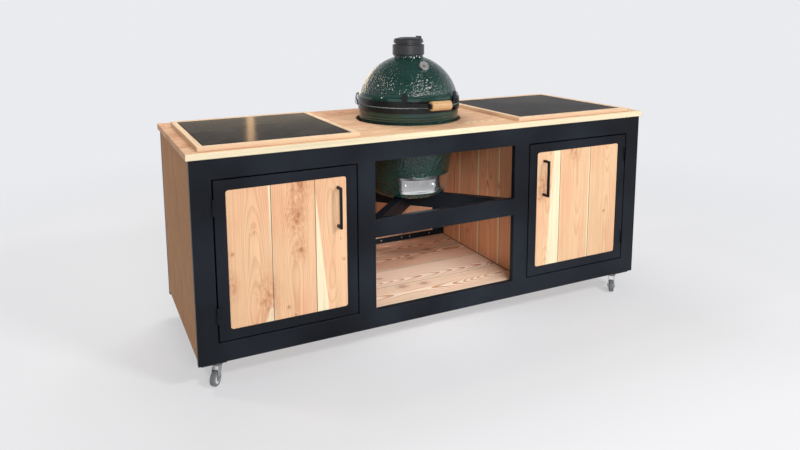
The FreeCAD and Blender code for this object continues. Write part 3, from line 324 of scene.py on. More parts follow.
def timber(name, layout, seed, marks=(), pale=(), patches=(), knots=1.0, red=0.0, light=1.0,
           fade_and_painted_light=0.0, lines=1.0, white=1.0, painted_shade_past=NOWHERE, tone=(1.0, 1.0, 1.0)):
    """Sawn larch: rings round a wandering pith, knots, sapwood and fine fibres.

    Marks are knots and patches are redder places, both (across, along, radius). Pale are strips
    between two lines (offset, slope), as pale as white says: sapwood on the doors, worktop, shelf
    and battens, but painted highlight on the eased board edges where they straddle the joints of
    the side walls and partitions. Knots is the strength of the scattered knots and lines that of
    the growth lines. Red reddens all boards, and painted_shade_past makes those beyond that place
    redder and darker, which is painted shade. Fade bleaches them, light brightens or darkens them
    and tone tints them. Light and tone paint the shade of the side walls and the light and warm
    shade of the partitions, and fade and light paint light on the shelf."""
    f, c = Finish(name), colours()
    along, side, through, board, over, joint_and_shadow_gap = layout(f)

    # Three draws for each board, and a slow wandering along it
    draw = f.add("ShaderNodeTexWhiteNoise", {"noise_dimensions": "1D"},
                 {"W": board * 1.37 + seed}, "Color")
    first, second, third = draw.split()
    drift = f.noise(f.point(along * 1.5, board * 5.1, seed), 1.0, 1.0) - 0.5
    sway = f.noise(f.point(along * 1.9, board * 3.3, seed + 9.0), 1.0, 1.0) - 0.5
    flow = f.noise(f.point(along * 2.0, over * 8.0, through * 8.0 + board * 2.3), 1.0, 3.0) - 0.5

    # Scattered knots, then the marked ones
    cell = f.add("ShaderNodeTexVoronoi", None, {
        "Vector": f.point(along * 2.4, over * 4.0, board * 7.7 + seed), "Scale": 1.0})
    swirl = (cell * cell).bell(70.0) * knots
    knot = cell.ease(0.042, 0.022) * knots
    ragged = f.noise(f.point(along * 45.0, over * 70.0, through * 70.0 + seed), 1.0, 2.0) - 0.5
    for place, height, radius in marks:
        u = (over - place + ragged * 0.02) * (1 / radius)
        v = (along - height - ragged * 0.02) * (0.7 / radius)
        reach = u * u + v * v
        swirl = reach.bell(0.3) + swirl
        knot = reach.ease(1.1, 0.3).most(knot)

    # Growth rings round a pith that lies below the board
    off = side - (first - 0.5) * 0.08 + drift * 0.06
    below = through + 0.026 + second * 0.07 + (third - 0.5) * along * 0.06 + sway * 0.05
    ring = (off * off + below * below).root() + flow * 0.006 + swirl * 0.0045
    turn = (ring * (1 / sizes().growth)).fract()
    late = turn.ease(0.4, 0.9) * (1.0 - turn.ease(0.94, 1.0))

    # Colour of the wood, its sapwood, its redder places and its knots, with painted shade past
    # painted_shade_past and painted highlight at some joints
    patch = f.noise(f.point(along * 3.0, over * 7.0, through * 7.0 + board * 3.0), 1.0, 3.0)
    # Boards past painted_shade_past are redder, darker and less bleached: painted shade
    behind = over > painted_shade_past
    warm = (third * 0.6 + patch.ease(0.4, 0.7) * 0.7 + red + behind).least(1.0)
    early = f.blend(tuple(c.heartwood), tuple(c.heartwood_pink), warm)
    line = f.blend(tuple(c.late_wood), tuple(c.late_wood_red), warm)
    # fade bleaches the boards; on the shelf it is painted light, weaker past painted_shade_past
    if fade_and_painted_light:
        early = f.blend(early, srgb("f3e2d2"), (1.0 - behind * 0.45) * fade_and_painted_light)
    tint = f.blend(early, line, late * (first * 0.3 + 0.33) * lines)
    sap_and_edge_highlight = None
    # Pale strips: sapwood, except at the joints of the side walls and partitions, where they paint
    # highlight on the eased board edges
    for (left, left_slope), (right, right_slope) in pale:
        wave = over + flow * 0.012
        strip = (wave - along * left_slope).ease(left - 0.002, left + 0.003)
        strip = strip * (wave - along * right_slope).ease(right + 0.002, right - 0.003)
        sap_and_edge_highlight = sap_and_edge_highlight.most(strip) if sap_and_edge_highlight else strip
    if sap_and_edge_highlight:
        outer = f.blend(tuple(c.sapwood), tuple(c.sapwood_line), late * 0.7)
        tint = f.blend(tint, outer, sap_and_edge_highlight * white)
    blush = (swirl - knot).ease(0.2, 0.95) * 0.4
    tint = f.blend(tint, tuple(c.late_wood_red), blush)
    for place, height, radius in patches:
        u = (over - place + ragged * 0.05) * (1 / radius)
        v = (along - height) * (0.55 / radius)
        red_here = (u * u + v * v).bell(1.2) * (ragged * 2.2 + 0.5).most(0.0)
        tint = f.blend(tint, tuple(c.late_wood_red), red_here)
    tint = f.blend(tint, tuple(c.knot), knot * 0.5)

    # Fibres, streaks and the dark joints between boards, with a painted shadow on the shelf beside
    # the partitions; light and tone then paint light or shade over a whole part
    fibre = f.noise(f.point(along * 9.0, over * 420.0, through * 420.0), 1.0, 3.0)
    streak = f.noise(f.point(along * 1.3, over * 95.0, through * 95.0 + board), 1.0, 4.0, 0.65)
    shade = fibre * 0.24 + streak * 0.46 + patch * 0.16 + second * 0.08 + 0.54 - behind * 0.04
    if joint_and_shadow_gap:
        shade = shade * (1.0 - joint_and_shadow_gap.ease(0.0022, 0.0008) * 0.7)
    # light and tone brighten, darken or tint the whole part: painted light or shade on the side
    # walls, partitions and shelf
    tint = f.blend(f.shade(tint, shade * light), tone, 1.0, "MULTIPLY")
    height = fibre * 0.6 + late * 0.5 - knot * 0.3
    return f.surface(Base_Color=tint, Roughness=fibre * 0.14 + 0.54 - late * 0.06,
                     Specular_IOR_level=0.08, Normal=f.bump(height, 0.0005, 0.35))


# Other finishes

def powder_coat():
    """Satin charcoal coat: fine orange peel, cloudy gloss and softly rounded edges. Its paler
    colour clouds are partly uneven coat and partly painted sheen.
    """
    f, c = Finish("powder_coat"), colours()
    cloud = f.noise(f.here, 2.4, 3.0)
    peel = f.noise(f.here, 700.0, 2.0)
    # Paler clouds in the colour: partly uneven coat, partly painted sheen
    tint = f.blend(tuple(c.steel), tuple(c.steel_cloud_and_sheen), cloud.ease(0.3, 0.7))
    edge = f.add("ShaderNodeBevel", {"samples": 6}, {"Radius": 0.0022})
    return f.surface(Base_Color=tint, Roughness=cloud * 0.12 + peel * 0.06 + 0.3,
                     Specular_IOR_level=0.13, Normal=f.bump(peel, 0.0003, 0.15, edge))


def green_glaze():
    """Deep glossy glaze over dimples, thin and pale on the ridges; paler on the smooth rims, partly
    thin glaze and partly painted sheen, and darker in the rim grooves, a painted shade.
    """
    f, c = Finish("green_glaze"), colours()
    warp = f.add("ShaderNodeTexNoise", None, {"Vector": f.here, "Scale": 45.0, "Detail": 1.0},
                 "Color")
    moved = f.add("ShaderNodeVectorMath", {"operation": "MULTIPLY_ADD"},
                  (warp, (0.006, 0.006, 0.006), f.here))
    cell = f.add("ShaderNodeTexVoronoi", {"feature": "SMOOTH_F1"}, {
        "Vector": moved, "Scale": 1 / sizes().dimple, "Smoothness": 0.35})
    rim_bottom, rim_top = (0.362, 0.368), (0.494, 0.488)
    smooth_rim = (f.z.ease(*(GRILL_FOOT + level for level in rim_bottom))
                  * f.z.ease(*(GRILL_FOOT + level for level in rim_top)))
    dimpled = 1.0 - smooth_rim
    groove = 0.0
    for bottom in (0.9455, 0.9555, 0.968, 1.058):
        lower_edge = f.z.ease(bottom, bottom + 0.0012)
        groove = lower_edge * f.z.ease(bottom + 0.0045, bottom + 0.003) + groove
    ridge = cell.ease(0.32, 0.62)
    cloud = f.noise(f.here, 9.0, 4.0)
    deep = f.blend(tuple(c.glaze), tuple(c.glaze_thin), cloud.ease(0.35, 0.9) * 0.5)
    # Paler on the smooth rims, partly thin glaze and partly painted sheen; darker in the grooves, a
    # painted shade
    deep = f.shade(f.blend(deep, tuple(c.glaze_thin), smooth_rim * 0.5), 1.0 - groove * 0.6)
    tint = f.blend(deep, tuple(c.glaze_thin), ridge * dimpled * 0.25)
    fine = f.noise(f.here, 160.0, 2.0)
    height = cell * cell * dimpled * 0.0044 - groove * 0.002 + fine * 0.00006
    return f.surface(Base_Color=tint, Roughness=cloud * 0.03 + 0.04, Specular_IOR_level=0.62,
                     Normal=f.bump(height, 1.0, 0.8))


def honed_stone():
    """Dark slab, honed: fine pale grains, clouds and a few scuffs."""
    f, c = Finish("honed_stone"), colours()
    cloud = f.noise(f.here, 5.0, 5.0, 0.6)
    grain = f.noise(f.here, 420.0, 2.0)
    patch = f.noise(f.here, 36.0, 4.0, 0.65)
    scuff = f.noise(f.point(f.x * 3.0, f.y * 90.0 + f.x * 22.0, f.z), 1.0, 3.0).ease(0.68, 0.8)
    light = cloud.ease(0.35, 0.75) * 0.5 + grain.ease(0.6, 0.8) * 0.3 + scuff * 0.6
    tint = f.shade(f.blend(tuple(c.stone), tuple(c.stone_light), light), patch * 0.3 + 0.85)
    return f.surface(Base_Color=tint, Roughness=patch * 0.06 + scuff * 0.15 + 0.11,
                     Specular_IOR_level=0.002, Normal=f.bump(grain + patch * 0.3, 0.0002, 0.12))


def metal(name, tint, rough, spread, stretch=(60.0, 60.0, 60.0), depth=0.0001, metallic=1.0,
          cloud_share=0.15, specular=0.5):
    """A metal with fine marks, which are long where stretch is small."""
    f = Finish(name)
    line = f.noise(f.point(*(axis * s for axis, s in zip((f.x, f.y, f.z), stretch))), 1.0, 3.0)
    cloud = f.noise(f.here, 18.0, 3.0)
    shade = f.shade(tint, line * 0.22 + cloud * cloud_share + 0.89 - cloud_share / 2)
    return f.surface(Base_Color=shade, Metallic=metallic, Specular_IOR_level=specular,
                     Roughness=line * spread + cloud * spread * 0.5 + rough - spread * 0.7,
                     Normal=f.bump(line, depth, 0.4))


def cast(name, tint, light, scale, rough, depth, metallic=0.0, specular=0.4):
    """Anything grainy, such as cast iron, a moulded cap, rubber, felt or firebrick.

    Scale is how fine the grain is and depth how far it stands out."""
    f = Finish(name)
    grain = f.noise(f.here, scale, 4.0, 0.6)
    cloud = f.noise(f.here, scale / 14, 3.0)
    colour_here = f.blend(tint, light, grain.ease(0.45, 0.75) * 0.6 + cloud * 0.3)
    return f.surface(Base_Color=colour_here, Metallic=metallic, Specular_IOR_level=specular,
                     Roughness=grain * 0.16 + rough - 0.08,
                     Normal=f.bump(grain, depth, 0.5))


def turned_wood():
    """Pale turned wood with fine lines along the grip."""
    f, c = Finish("turned_wood"), colours()
    line = f.noise(f.point(f.x * 14.0, f.y * 260.0, f.z * 260.0), 1.0, 4.0)
    fleck = f.noise(f.point(f.x * 60.0, f.y * 700.0, f.z * 700.0), 1.0, 2.0)
    tint = f.shade(f.blend(tuple(c.grip), srgb("a97742"), line.ease(0.5, 0.8) * 0.6),
                   fleck * 0.25 + 0.87)
    return f.surface(Base_Color=tint, Roughness=line * 0.15 + 0.35,
                     Normal=f.bump(line, 0.0004, 0.4))


def lens_glass():
    """Clear lens with faint dust."""
    f = Finish("lens_glass")
    dust = f.noise(f.here, 300.0, 3.0)
    return f.surface(Base_Color=(0.9, 0.93, 0.95), Roughness=dust * 0.05 + 0.02,
                     Alpha=dust.ease(0.6, 0.9) * 0.06 + 0.03, Specular_IOR_level=0.7)


# Making pieces

def only(piece):
    """Selects one piece and nothing else."""
    bpy.ops.object.select_all(action="DESELECT")
    piece.select_set(True)
    bpy.context.view_layer.objects.active = piece


def settle(piece, location=True):
    """Puts a piece's turn and scale into its mesh, and its place unless told not to."""
    only(piece)
    bpy.ops.object.transform_apply(location=location, rotation=True, scale=True)


def start(name, primitive, axis=(0, 0, 1), at=(0, 0, 0), **shape):
    """Adds a primitive with its Z along axis and returns it."""
    bpy.ops.object.select_all(action="DESELECT")
    turn = Vector(axis).to_track_quat("Z", "Y").to_euler()
    getattr(bpy.ops.mesh, f"primitive_{primitive}_add")(location=at, rotation=turn, **shape)
    piece = bpy.context.object
    piece.name = piece.data.name = name
    return piece


@contextlib.contextmanager
def shaping(piece, kind="FACE"):
    """Edit mode with nothing selected; yields a picker that selects by a test."""
    only(piece)
    bpy.ops.object.mode_set(mode="EDIT")
    bpy.ops.mesh.select_mode(type=kind)
    bpy.ops.mesh.select_all(action="DESELECT")

    def pick(test):
        bpy.ops.mesh.select_all(action="DESELECT")
        mesh = bmesh.from_edit_mesh(piece.data)
        for item in {"FACE": mesh.faces, "EDGE": mesh.edges}[kind]:
            if test(item):
                item.select_set(True)
        mesh.select_flush_mode()
        bmesh.update_edit_mesh(piece.data)
    yield pick
    bpy.ops.object.mode_set(mode="OBJECT")


def apply(piece, kind, **settings):
    """Adds a modifier and applies it."""
    only(piece)
    modifier = piece.modifiers.new(kind.lower(), kind)
    for key, value in settings.items():
        setattr(modifier, key, value)
    bpy.ops.object.modifier_apply(modifier=modifier.name)


def seat(piece, body, slot, material, *replaced, angle=35.0):
    """Settles a piece, smooths it, finishes it and lets it ride on its body."""
    settle(piece)
    piece.data.materials.clear()
    piece.data.materials.append(material)
    bpy.ops.object.shade_smooth_by_angle(angle=math.radians(angle))
    if replaced:
        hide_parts(*replaced)
    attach(piece, body)


def joined(name, pieces):
    """Makes one piece of several."""
    bpy.ops.object.select_all(action="DESELECT")
    for piece in pieces:
        piece.select_set(True)
    bpy.context.view_layer.objects.active = pieces[0]
    bpy.ops.object.join()
    pieces[0].name = pieces[0].data.name = name
    return pieces[0]


def copied(piece, name, moved):
    """A copy with its own mesh, put where the matrix says."""
    twin = piece.copy()
    twin.data = piece.data.copy()
    bpy.context.scene.collection.objects.link(twin)
    twin.name = twin.data.name = name
    twin.matrix_world = moved @ piece.matrix_world
    return twin


class GRILLTABLE_OT_steel(bpy.types.Operator):
    """Coats the frame, doors, handles and hinges"""

    bl_idname = "grill_table.steel"
    bl_label = "Frame and doors"

    def execute(self, context):
        dress(powder_coat(), "front_frame", "rear_frame", "cross_rails", "grill_cradle",
              "back_cleats", "hinge_pin_halves", "door_catches",
              *(f"{side}_{fitting}" for side in ("left", "right")
                for fitting in ("door_frame", "door_handle", "hinge_sockets")))
        return {"FINISHED"}


class GRILLTABLE_OT_timber(bpy.types.Operator):
    """Gives every board its grain"""

    bl_idname = "grill_table.timber"
    bl_label = "Timber"

    def execute(self, context):
        bays = [-1.02, -0.8233, -0.6267, -0.43, -0.35, -0.175, 0.0]
        bays += [-edge for edge in reversed(bays[:-1])]
        door_edges = [0.4805, 0.6155, 0.7965, 0.9695]
        floor_edges = every(-0.3355, 0.177, 4)
        floor_level = 0.177
        middle_rail, bay_half = 0.55, 0.39

        def back(f):
            along, side, through, board, over, joint_and_shadow_gap = side_by_side("Z", "X", bays, 0.3875)(f)
            upper = (f.z > middle_rail) * (abs(f.x) < bay_half)
            return along, side, through, upper * 23.0 + board, over, joint_and_shadow_gap

        def battens(f):
            """Four battens round each slab, two of them along the table."""
            middle_x, middle_y, middle_z, half = 0.7235, -0.0115, 0.9475, 0.315
            beyond = abs(f.y - middle_y)
            lengthwise = beyond > 0.303
            other = 1.0 - lengthwise
            along = f.x * lengthwise + f.y * other
            board = lengthwise * 3.0 + (f.y > 0.0) * 5.0 + (f.x > 0.0) * 7.0
            side = (beyond - half) * lengthwise + (abs(abs(f.x) - middle_x) - half) * other
            return along, side, f.z - middle_z, board, side, None

        def shelf(f):
            """Floor boards with a painted shadow along their ends beside the partitions."""
            layout = side_by_side("X", "Y", floor_edges, floor_level)(f)
            # painted shadow: the board ends darken like a joint within a few millimetres of each
            # partition
            return *layout[:-1], layout[-1].least((0.417 - abs(f.x)) * 0.2)

        dress(timber("left_door_timber",
                     side_by_side("Z", "X", [-edge for edge in reversed(door_edges)], 0.3505),
                     3.2,
                     marks=((-0.866, 0.611, 0.005), (-0.953, 0.535, 0.006),
                            (-0.676, 0.775, 0.013), (-0.687, 0.655, 0.011),
                            (-0.694, 0.628, 0.007), (-0.677, 0.509, 0.007),
                            (-0.733, 0.278, 0.005), (-0.706, 0.241, 0.004),
                            (-0.496, 0.442, 0.005), (-0.507, 0.53, 0.003)),
                     pale=(((-0.6155, 0.0), (-0.5385, -0.103)),
                           ((-0.9116, 0.34), (-0.7965, 0.0)),
                           ((-0.7904, -0.022), (-0.7965, 0.0))),
                     patches=((-0.676, 0.775, 0.05), (-0.69, 0.645, 0.045), (-0.811, 0.34, 0.05),
                              (-0.957, 0.406, 0.03), (-0.677, 0.509, 0.03)),
                     knots=0.0, lines=0.75),
              "left_door_boards")
        dress(timber("right_door_timber",
                     side_by_side("Z", "X", door_edges, 0.3505), 8.6,
                     marks=((0.896, 0.454, 0.005), (0.492, 0.568, 0.005)),
                     pale=(((0.5298, 0.056), (0.6155, 0.0)), ((0.789, 0.0), (0.7965, 0.0))),
                     patches=((0.7, 0.78, 0.04), (0.52, 0.62, 0.04)), knots=0.0, lines=0.75),
              "right_door_boards")
        # The side walls face away from the lamps: red, light and tone paint their warm shade, and
        # the pale strips at the joints are painted highlight on the eased board edges
        dress(timber("side_timber",
                     side_by_side("Z", "Y", every(-0.3365, 0.1775, 4), 1.09, "X"), 1.7,
                     pale=[((j - 0.002, 0.0), (j + 0.004, 0.0)) for j in (-0.159, 0.0185, 0.196)],
                     white=0.5, red=1.0, knots=0.5, light=0.64, lines=2.6,
                     tone=(1.0, 0.94, 0.73)),
              "side_boards")
        # Inside the bays: light brightens these boards, a painted light, red and tone paint the
        # warm shade there, and the pale strips at the joints are painted highlight on the eased
        # board edges
        dress(timber("partition_timber",
                     side_by_side("Z", "Y", floor_edges, 0.428, "X"), 5.3,
                     marks=((-0.081, 0.621, 0.008), (-0.149, 0.588, 0.01),
                            (-0.004, 0.612, 0.006), (0.125, 0.277, 0.007)),
                     pale=[((j, 0.0), (j + 0.017, 0.0)) for j in floor_edges[1:-1]],
                     white=0.75, red=0.7, knots=0.4, light=1.2, lines=1.8,
                     tone=(1.0, 0.96, 0.93)),
              "partition_boards")
        dress(timber("back_timber", back, 6.1, red=0.3), "back_boards")
        dress(timber("floor_timber", side_by_side("X", "Y", floor_edges, floor_level, "X"), 2.9),
              "cabinet_floor_boards")
        # Fade and light paint light on the shelf, and the boards beyond painted_shade_past are
        # redder, darker and less bleached, a painted shade
        dress(timber("shelf_timber", shelf, 4.4, painted_shade_past=0.0185,
                     marks=((-0.197, -0.027, 0.015), (-0.188, -0.137, 0.018),
                            (-0.06, -0.197, 0.011), (0.111, 0.062, 0.02),
                            (0.181, 0.204, 0.018), (-0.128, 0.4, 0.01)),
                     pale=[((j, 0.0), (j + 0.009, 0.0)) for j in floor_edges[:-1]],
                     white=0.5, knots=0.4, fade_and_painted_light=0.8, light=1.1, lines=2.8),
              "shelf_boards")
        dress(timber("worktop_timber",
                     side_by_side("X", "Y", every(-0.3675, 0.1532, 5), 0.9265), 7.5,
                     marks=((-0.29, -0.131, 0.004), (-0.214, -0.108, 0.004)),
                     pale=(((-0.39, 0.0), (-0.3625, 0.0)), ((-0.3675, 0.0), (-0.373, 0.025))),
                     patches=((-0.2, -1.03, 0.09), (0.05, -1.06, 0.08), (0.27, -0.2, 0.1)),
                     knots=0.7, light=0.9, fade_and_painted_light=0.15, lines=2.6),
              "worktop_boards")
        dress(timber("batten_timber", battens, 9.8, pale=(((-1.0, 0.0), (1.0, 0.0)),),
                     fade_and_painted_light=0.2, lines=1.4, white=0.35, red=0.2, light=0.97),
              "tray_battens")
        return {"FINISHED"}


class GRILLTABLE_OT_stone(bpy.types.Operator):
    """Finishes the two slabs"""

    bl_idname = "grill_table.stone"
    bl_label = "Stone slabs"

    def execute(self, context):
        dress(honed_stone(), "stone_slab_left", "stone_slab_right")
        return {"FINISHED"}


class GRILLTABLE_OT_grill(bpy.types.Operator):
    """Finishes the kamado, its bands, fire parts and cap"""

    bl_idname = "grill_table.grill"
    bl_label = "Kamado grill"

    def execute(self, context):
        dress(green_glaze(), "grill_base", "lid_dome")
        dress(metal("black_band", srgb("0e0f11"), 0.26, 0.14, (30, 30, 900), metallic=0.0,
                    specular=0.35),
              "lower_band", "upper_band", "band_clamps", "handle_bracket", "lid_hinge_plates",
              "lid_hinge_arms", "lid_hinge_pin")
        dress(metal("polished_steel", srgb("eceef0"), 0.2, 0.1, (26, 26, 900), 0.00005),
              "draft_frame", "thermometer_case")
        dress(metal("brushed_steel", srgb("f2f4f6"), 0.34, 0.2, (80, 80, 4), 0.0002,
                    cloud_share=0.4),
              "draft_slide")
        dress(cast("firebrick", srgb("b9a98f"), srgb("cfc2ab"), 240.0, 0.9, 0.0008),
              "fire_box", "fire_ring")
        dress(cast("cast_iron", srgb("26272a"), srgb("3b3c3f"), 500.0, 0.62, 0.0005, 0.6),
              "fire_grate", "cooking_grid")
        dress(cast("felt", srgb("e2e0db"), srgb("f4f2ee"), 900.0, 0.95, 0.0006), "rim_gasket")
        dress(cast("moulded_cap", srgb("1f2022"), srgb("303134"), 1100.0, 0.36, 0.0002, 0.0, 0.6),
              "cap_body", "cap_lid")
        dress(turned_wood(), "handle_grip")
        dress(metal("dial_plate", srgb("8f8d8b"), 0.45, 0.08, (90, 90, 90), metallic=0.2),
              "thermometer_dial")
        dress(cast("needle_paint", srgb("4c1512"), srgb("641c17"), 900.0, 0.4, 0.0001),
              "thermometer_needle")
        dress(lens_glass(), "thermometer_lens")
        return {"FINISHED"}


class GRILLTABLE_OT_springs(bpy.types.Operator):
    """Winds the two lid springs"""

    bl_idname = "grill_table.springs"
    bl_label = "Lid springs"

    def execute(self, context):
        wire, radius = sizes().spring_wire, sizes().spring_radius
        low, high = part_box("lid_hinge_springs")
        middle = (low.x + high.x) / 2
        turns, steps = 12, 240
        inner = min(abs(v.co.x - middle) for v in NODES["lid_hinge_springs"].data.vertices)
        run = (high.x - low.x) / 2 - inner - wire
        made = []
        for side, x in (("left", low.x + wire / 2), ("right", middle + inner + wire / 2)):
            piece = start(f"spring_{side}", "circle", (0, 0, 1), (0, radius, 0), vertices=10,
                          radius=wire / 2, fill_type="NOTHING")
            settle(piece)
            with shaping(piece):
                bpy.ops.mesh.select_all(action="SELECT")
                bpy.ops.transform.rotate(value=math.pi / 2, orient_axis="Z",
                                         center_override=(0, radius, 0))
            apply(piece, "SCREW", axis="X", angle=2 * math.pi * turns, screw_offset=run,
                  steps=steps, render_steps=steps, use_smooth_shade=True,
                  use_merge_vertices=False, use_normal_calculate=True)
            with shaping(piece, "EDGE") as pick:
                pick(lambda edge: len(edge.link_faces) == 1)
                bpy.ops.mesh.fill_holes(sides=0)
                bpy.ops.mesh.select_all(action="SELECT")
                bpy.ops.mesh.normals_make_consistent(inside=False)
            piece.location = (x, LID_PIN.y, LID_PIN.z)
            made.append(piece)
        seat(joined("spring_coils", made), "table", "spring_steel",
             metal("spring_steel", srgb("2a2b2d"), 0.35, 0.1), "lid_hinge_springs", angle=60)
        return {"FINISHED"}


class GRILLTABLE_OT_casters(bpy.types.Operator):
    """Turns the caster wheels and finishes forks, plates, bolts and pads"""

    bl_idname = "grill_table.casters"
    bl_label = "Casters"

    def execute(self, context):
        rubber = cast("caster_tyre", tuple(colours().tyre), srgb("8a8d91"), 700.0, 0.5, 0.0003)
        hub_plastic = cast("caster_hub", srgb("e3e5e6"), srgb("f2f3f4"), 500.0, 0.3, 0.0002)
        dress(metal("zinc_plate", srgb("a9adab"), 0.3, 0.2, (70, 70, 200)),
              "caster_plates", "caster_bolts", *(f"{corner}_fork" for corner in CORNERS))
        dress(cast("packing_rubber", srgb("17181a"), srgb("26272a"), 500.0, 0.75, 0.0005),
              "caster_pads")
        radius, width, wall, rounding = 0.03, 0.022, 0.0105, 0.004
        hub_radius, hub_width = 0.0195, 0.021
        hub_rings = ((0.0025, 0.0), (0.001, -0.0025), (0.006, 0.0), (0.0008, 0.0022),
                     (0.0035, 0.0), (0.0006, -0.0018))
        tyre = start("tyre", "cylinder", vertices=64, radius=radius, depth=width)
        with shaping(tyre) as pick:
            pick(lambda face: abs(face.normal.z) > 0.9)
            bpy.ops.mesh.inset(thickness=wall, use_individual=True)
            bpy.ops.mesh.delete(type="FACE")
        with shaping(tyre, "EDGE") as pick:
            pick(lambda edge: len(edge.link_faces) == 1)
            bpy.ops.mesh.bridge_edge_loops()
        with shaping(tyre, "EDGE") as pick:
            pick(lambda edge: abs(edge.verts[0].co.z - edge.verts[1].co.z) < 1e-5
                 and all(v.co.xy.length > radius - 0.001 for v in edge.verts))
            bpy.ops.mesh.bevel(offset=rounding, segments=5)
            bpy.ops.mesh.select_all(action="SELECT")
            bpy.ops.mesh.normals_make_consistent(inside=False)
        hub = start("hub", "cylinder", vertices=64, radius=hub_radius, depth=hub_width)
        with shaping(hub) as pick:
            pick(lambda face: abs(face.normal.z) > 0.9)
            for inward, sink in hub_rings:
                bpy.ops.mesh.inset(thickness=inward, use_individual=True)
                if sink:
                    bpy.ops.transform.shrink_fatten(value=sink)
        for corner in CORNERS:
            roll = JOINTS[f"{corner}_roll"]
            turn = Vector(roll["axis"]).to_track_quat("Z", "Y").to_matrix().to_4x4()
            place = Matrix.Translation(roll["pos_m"]) @ turn
            body = f"{corner}_roller"
            seat(copied(tyre, f"{corner}_tyre", place), body, "tyre", rubber, f"{corner}_wheel")
            seat(copied(hub, f"{corner}_hub", place), body, "tyre", hub_plastic)
        for used in (tyre, hub):
            bpy.data.objects.remove(used)
        return {"FINISHED"}


class GRILLTABLE_OT_dial(bpy.types.Operator):
    """Marks the thermometer's dial with ticks and plain numbers"""

    bl_idname = "grill_table.dial"
    bl_label = "Dial marks"

    def execute(self, context):
        ink = cast("dial_ink", srgb("1d1d1f"), srgb("2a2a2c"), 900.0, 0.6, 0.0001)
        level = max(v.co.dot(DIAL_OUT) for v in NODES["thermometer_dial"].data.vertices)
        pivot = Vector(JOINTS["thermometer_needle"]["pos_m"])
        proud = 0.00012
        centre = pivot + DIAL_OUT * (level - pivot.dot(DIAL_OUT) + proud)
        plane = Matrix((Vector((1, 0, 0)), DIAL_UP, DIAL_OUT)).transposed().to_4x4()
        plane = Matrix.Translation(centre) @ plane
        long_tick, numeral = sizes().tick, sizes().numeral
        ticks_out, numbers_out = 0.0185, 0.0122
        sweep, steps, first_number = 250, 30, 50
        marks = []
        for step in range(steps + 1):
            angle = math.radians(-sweep / 2 + sweep * step / steps)
            long = step % 5 == 0
            size, width = (long_tick, 0.0007) if long else (long_tick * 0.55, 0.0004)
            tick = start(f"tick_{step}", "cube", size=1.0)
            tick.scale = (width, size, 0.0002)
            settle(tick)
            with shaping(tick) as pick:
                pick(lambda face: face.normal.z > 0.9)
                bpy.ops.mesh.inset(thickness=0.00008)
                bpy.ops.transform.translate(value=(0, 0, 0.00006))
            tick.location = (math.sin(angle) * (ticks_out - size / 2),
                             math.cos(angle) * (ticks_out - size / 2), 0)
            tick.rotation_euler = (0, 0, -angle)
            marks.append(tick)
            if long:
                bpy.ops.object.select_all(action="DESELECT")
                bpy.ops.object.text_add(location=(math.sin(angle) * numbers_out,
                                                  math.cos(angle) * numbers_out, 0))
                figure = bpy.context.object
                figure.data.body = str(first_number + 10 * step)
                figure.data.align_x = figure.data.align_y = "CENTER"
                figure.data.size = numeral
                figure.data.extrude = 0.0001
                only(figure)
                bpy.ops.object.convert(target="MESH")
                marks.append(bpy.context.object)
        hub = start("dial_hub", "cylinder", vertices=32, radius=0.0058, depth=0.0008)
        with shaping(hub) as pick:
            pick(lambda face: face.normal.z > 0.9)
            bpy.ops.mesh.inset(thickness=0.0012, depth=0.0003)
        marks.append(hub)
        piece = joined("dial_marks", marks)
        settle(piece)
        piece.matrix_world = plane
        seat(piece, "lid", "dial_white", ink)
        return {"FINISHED"}


class GRILLTABLE_OT_bolts(bpy.types.Operator):
    """Sets the bright button bolts in the lid hinge"""

    bl_idname = "grill_table.bolts"
    bl_label = "Hinge bolts"

    def execute(self, context):
        bright = metal("bright_bolt", srgb("d5d8da"), 0.22, 0.1)
        radius = sizes().bolt / 2
        low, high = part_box("lid_hinge_plates")
        thick, sunk = 0.003, 0.0002
        from_pin = ((-0.0125, 0.0125), (0.0125, -0.0145))
        heads = []
        for side, x in ((-1, low.x), (1, high.x)):
            for index, (y, z) in enumerate(from_pin):
                head = start(f"bolt_{side}_{index}", "cylinder", (side, 0, 0), vertices=24,
                             radius=radius, depth=thick,
                             at=(x + side * (thick / 2 - sunk), LID_PIN.y + y, LID_PIN.z + z))
                settle(head, location=False)
                with shaping(head, "EDGE") as pick:
                    pick(lambda edge: all(v.co.x * side > 0.001 for v in edge.verts))
                    bpy.ops.mesh.bevel(offset=0.0014, segments=4)
                with shaping(head) as pick:
                    pick(lambda face: face.normal.x * side > 0.98)
                    bpy.ops.mesh.inset(thickness=radius * 0.28)
                    bpy.ops.mesh.inset(thickness=0.0002, depth=-0.0011)
                heads.append(head)
        seat(joined("hinge_bolts", heads), "table", "stainless", bright)
        return {"FINISHED"}


class GRILLTABLE_OT_screws(bpy.types.Operator):
    """Sets bright caps on the screws of the back boards"""

    bl_idname = "grill_table.screws"
    bl_label = "Back screws"

    def execute(self, context):
        bright = metal("bright_screw", srgb("c9ccd0"), 0.3, 0.1)
        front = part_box("back_cleats")[0].y
        tips = [v.co.xz for v in NODES["back_cleats"].data.vertices if v.co.y < front + 1e-5]
        centres = []
        for rough in sorted({tuple(round(value, 2) for value in tip) for tip in tips}):
            near = [tip for tip in tips if math.dist(tip, rough) < 0.012]
            centre = [(min(tip[k] for tip in near) + max(tip[k] for tip in near)) / 2
                      for k in (0, 1)]
            if all(math.dist(centre, other) > 0.01 for other in centres):
                centres.append(centre)
        heads = []
        pattern = start("screw", "cylinder", (0, -1, 0), vertices=20, radius=0.0037, depth=0.001)
        with shaping(pattern, "EDGE") as pick:
            pick(lambda edge: all(v.co.z > 0.0004 for v in edge.verts))
            bpy.ops.mesh.bevel(offset=0.0006, segments=2)
        for index, (x, z) in enumerate(centres):
            place = Matrix.Translation((x, front - 0.0003, z))
            heads.append(copied(pattern, f"screw_{index}", place))
        bpy.data.objects.remove(pattern)
        seat(joined("back_screws", heads), "table", "zinc", bright)
        return {"FINISHED"}


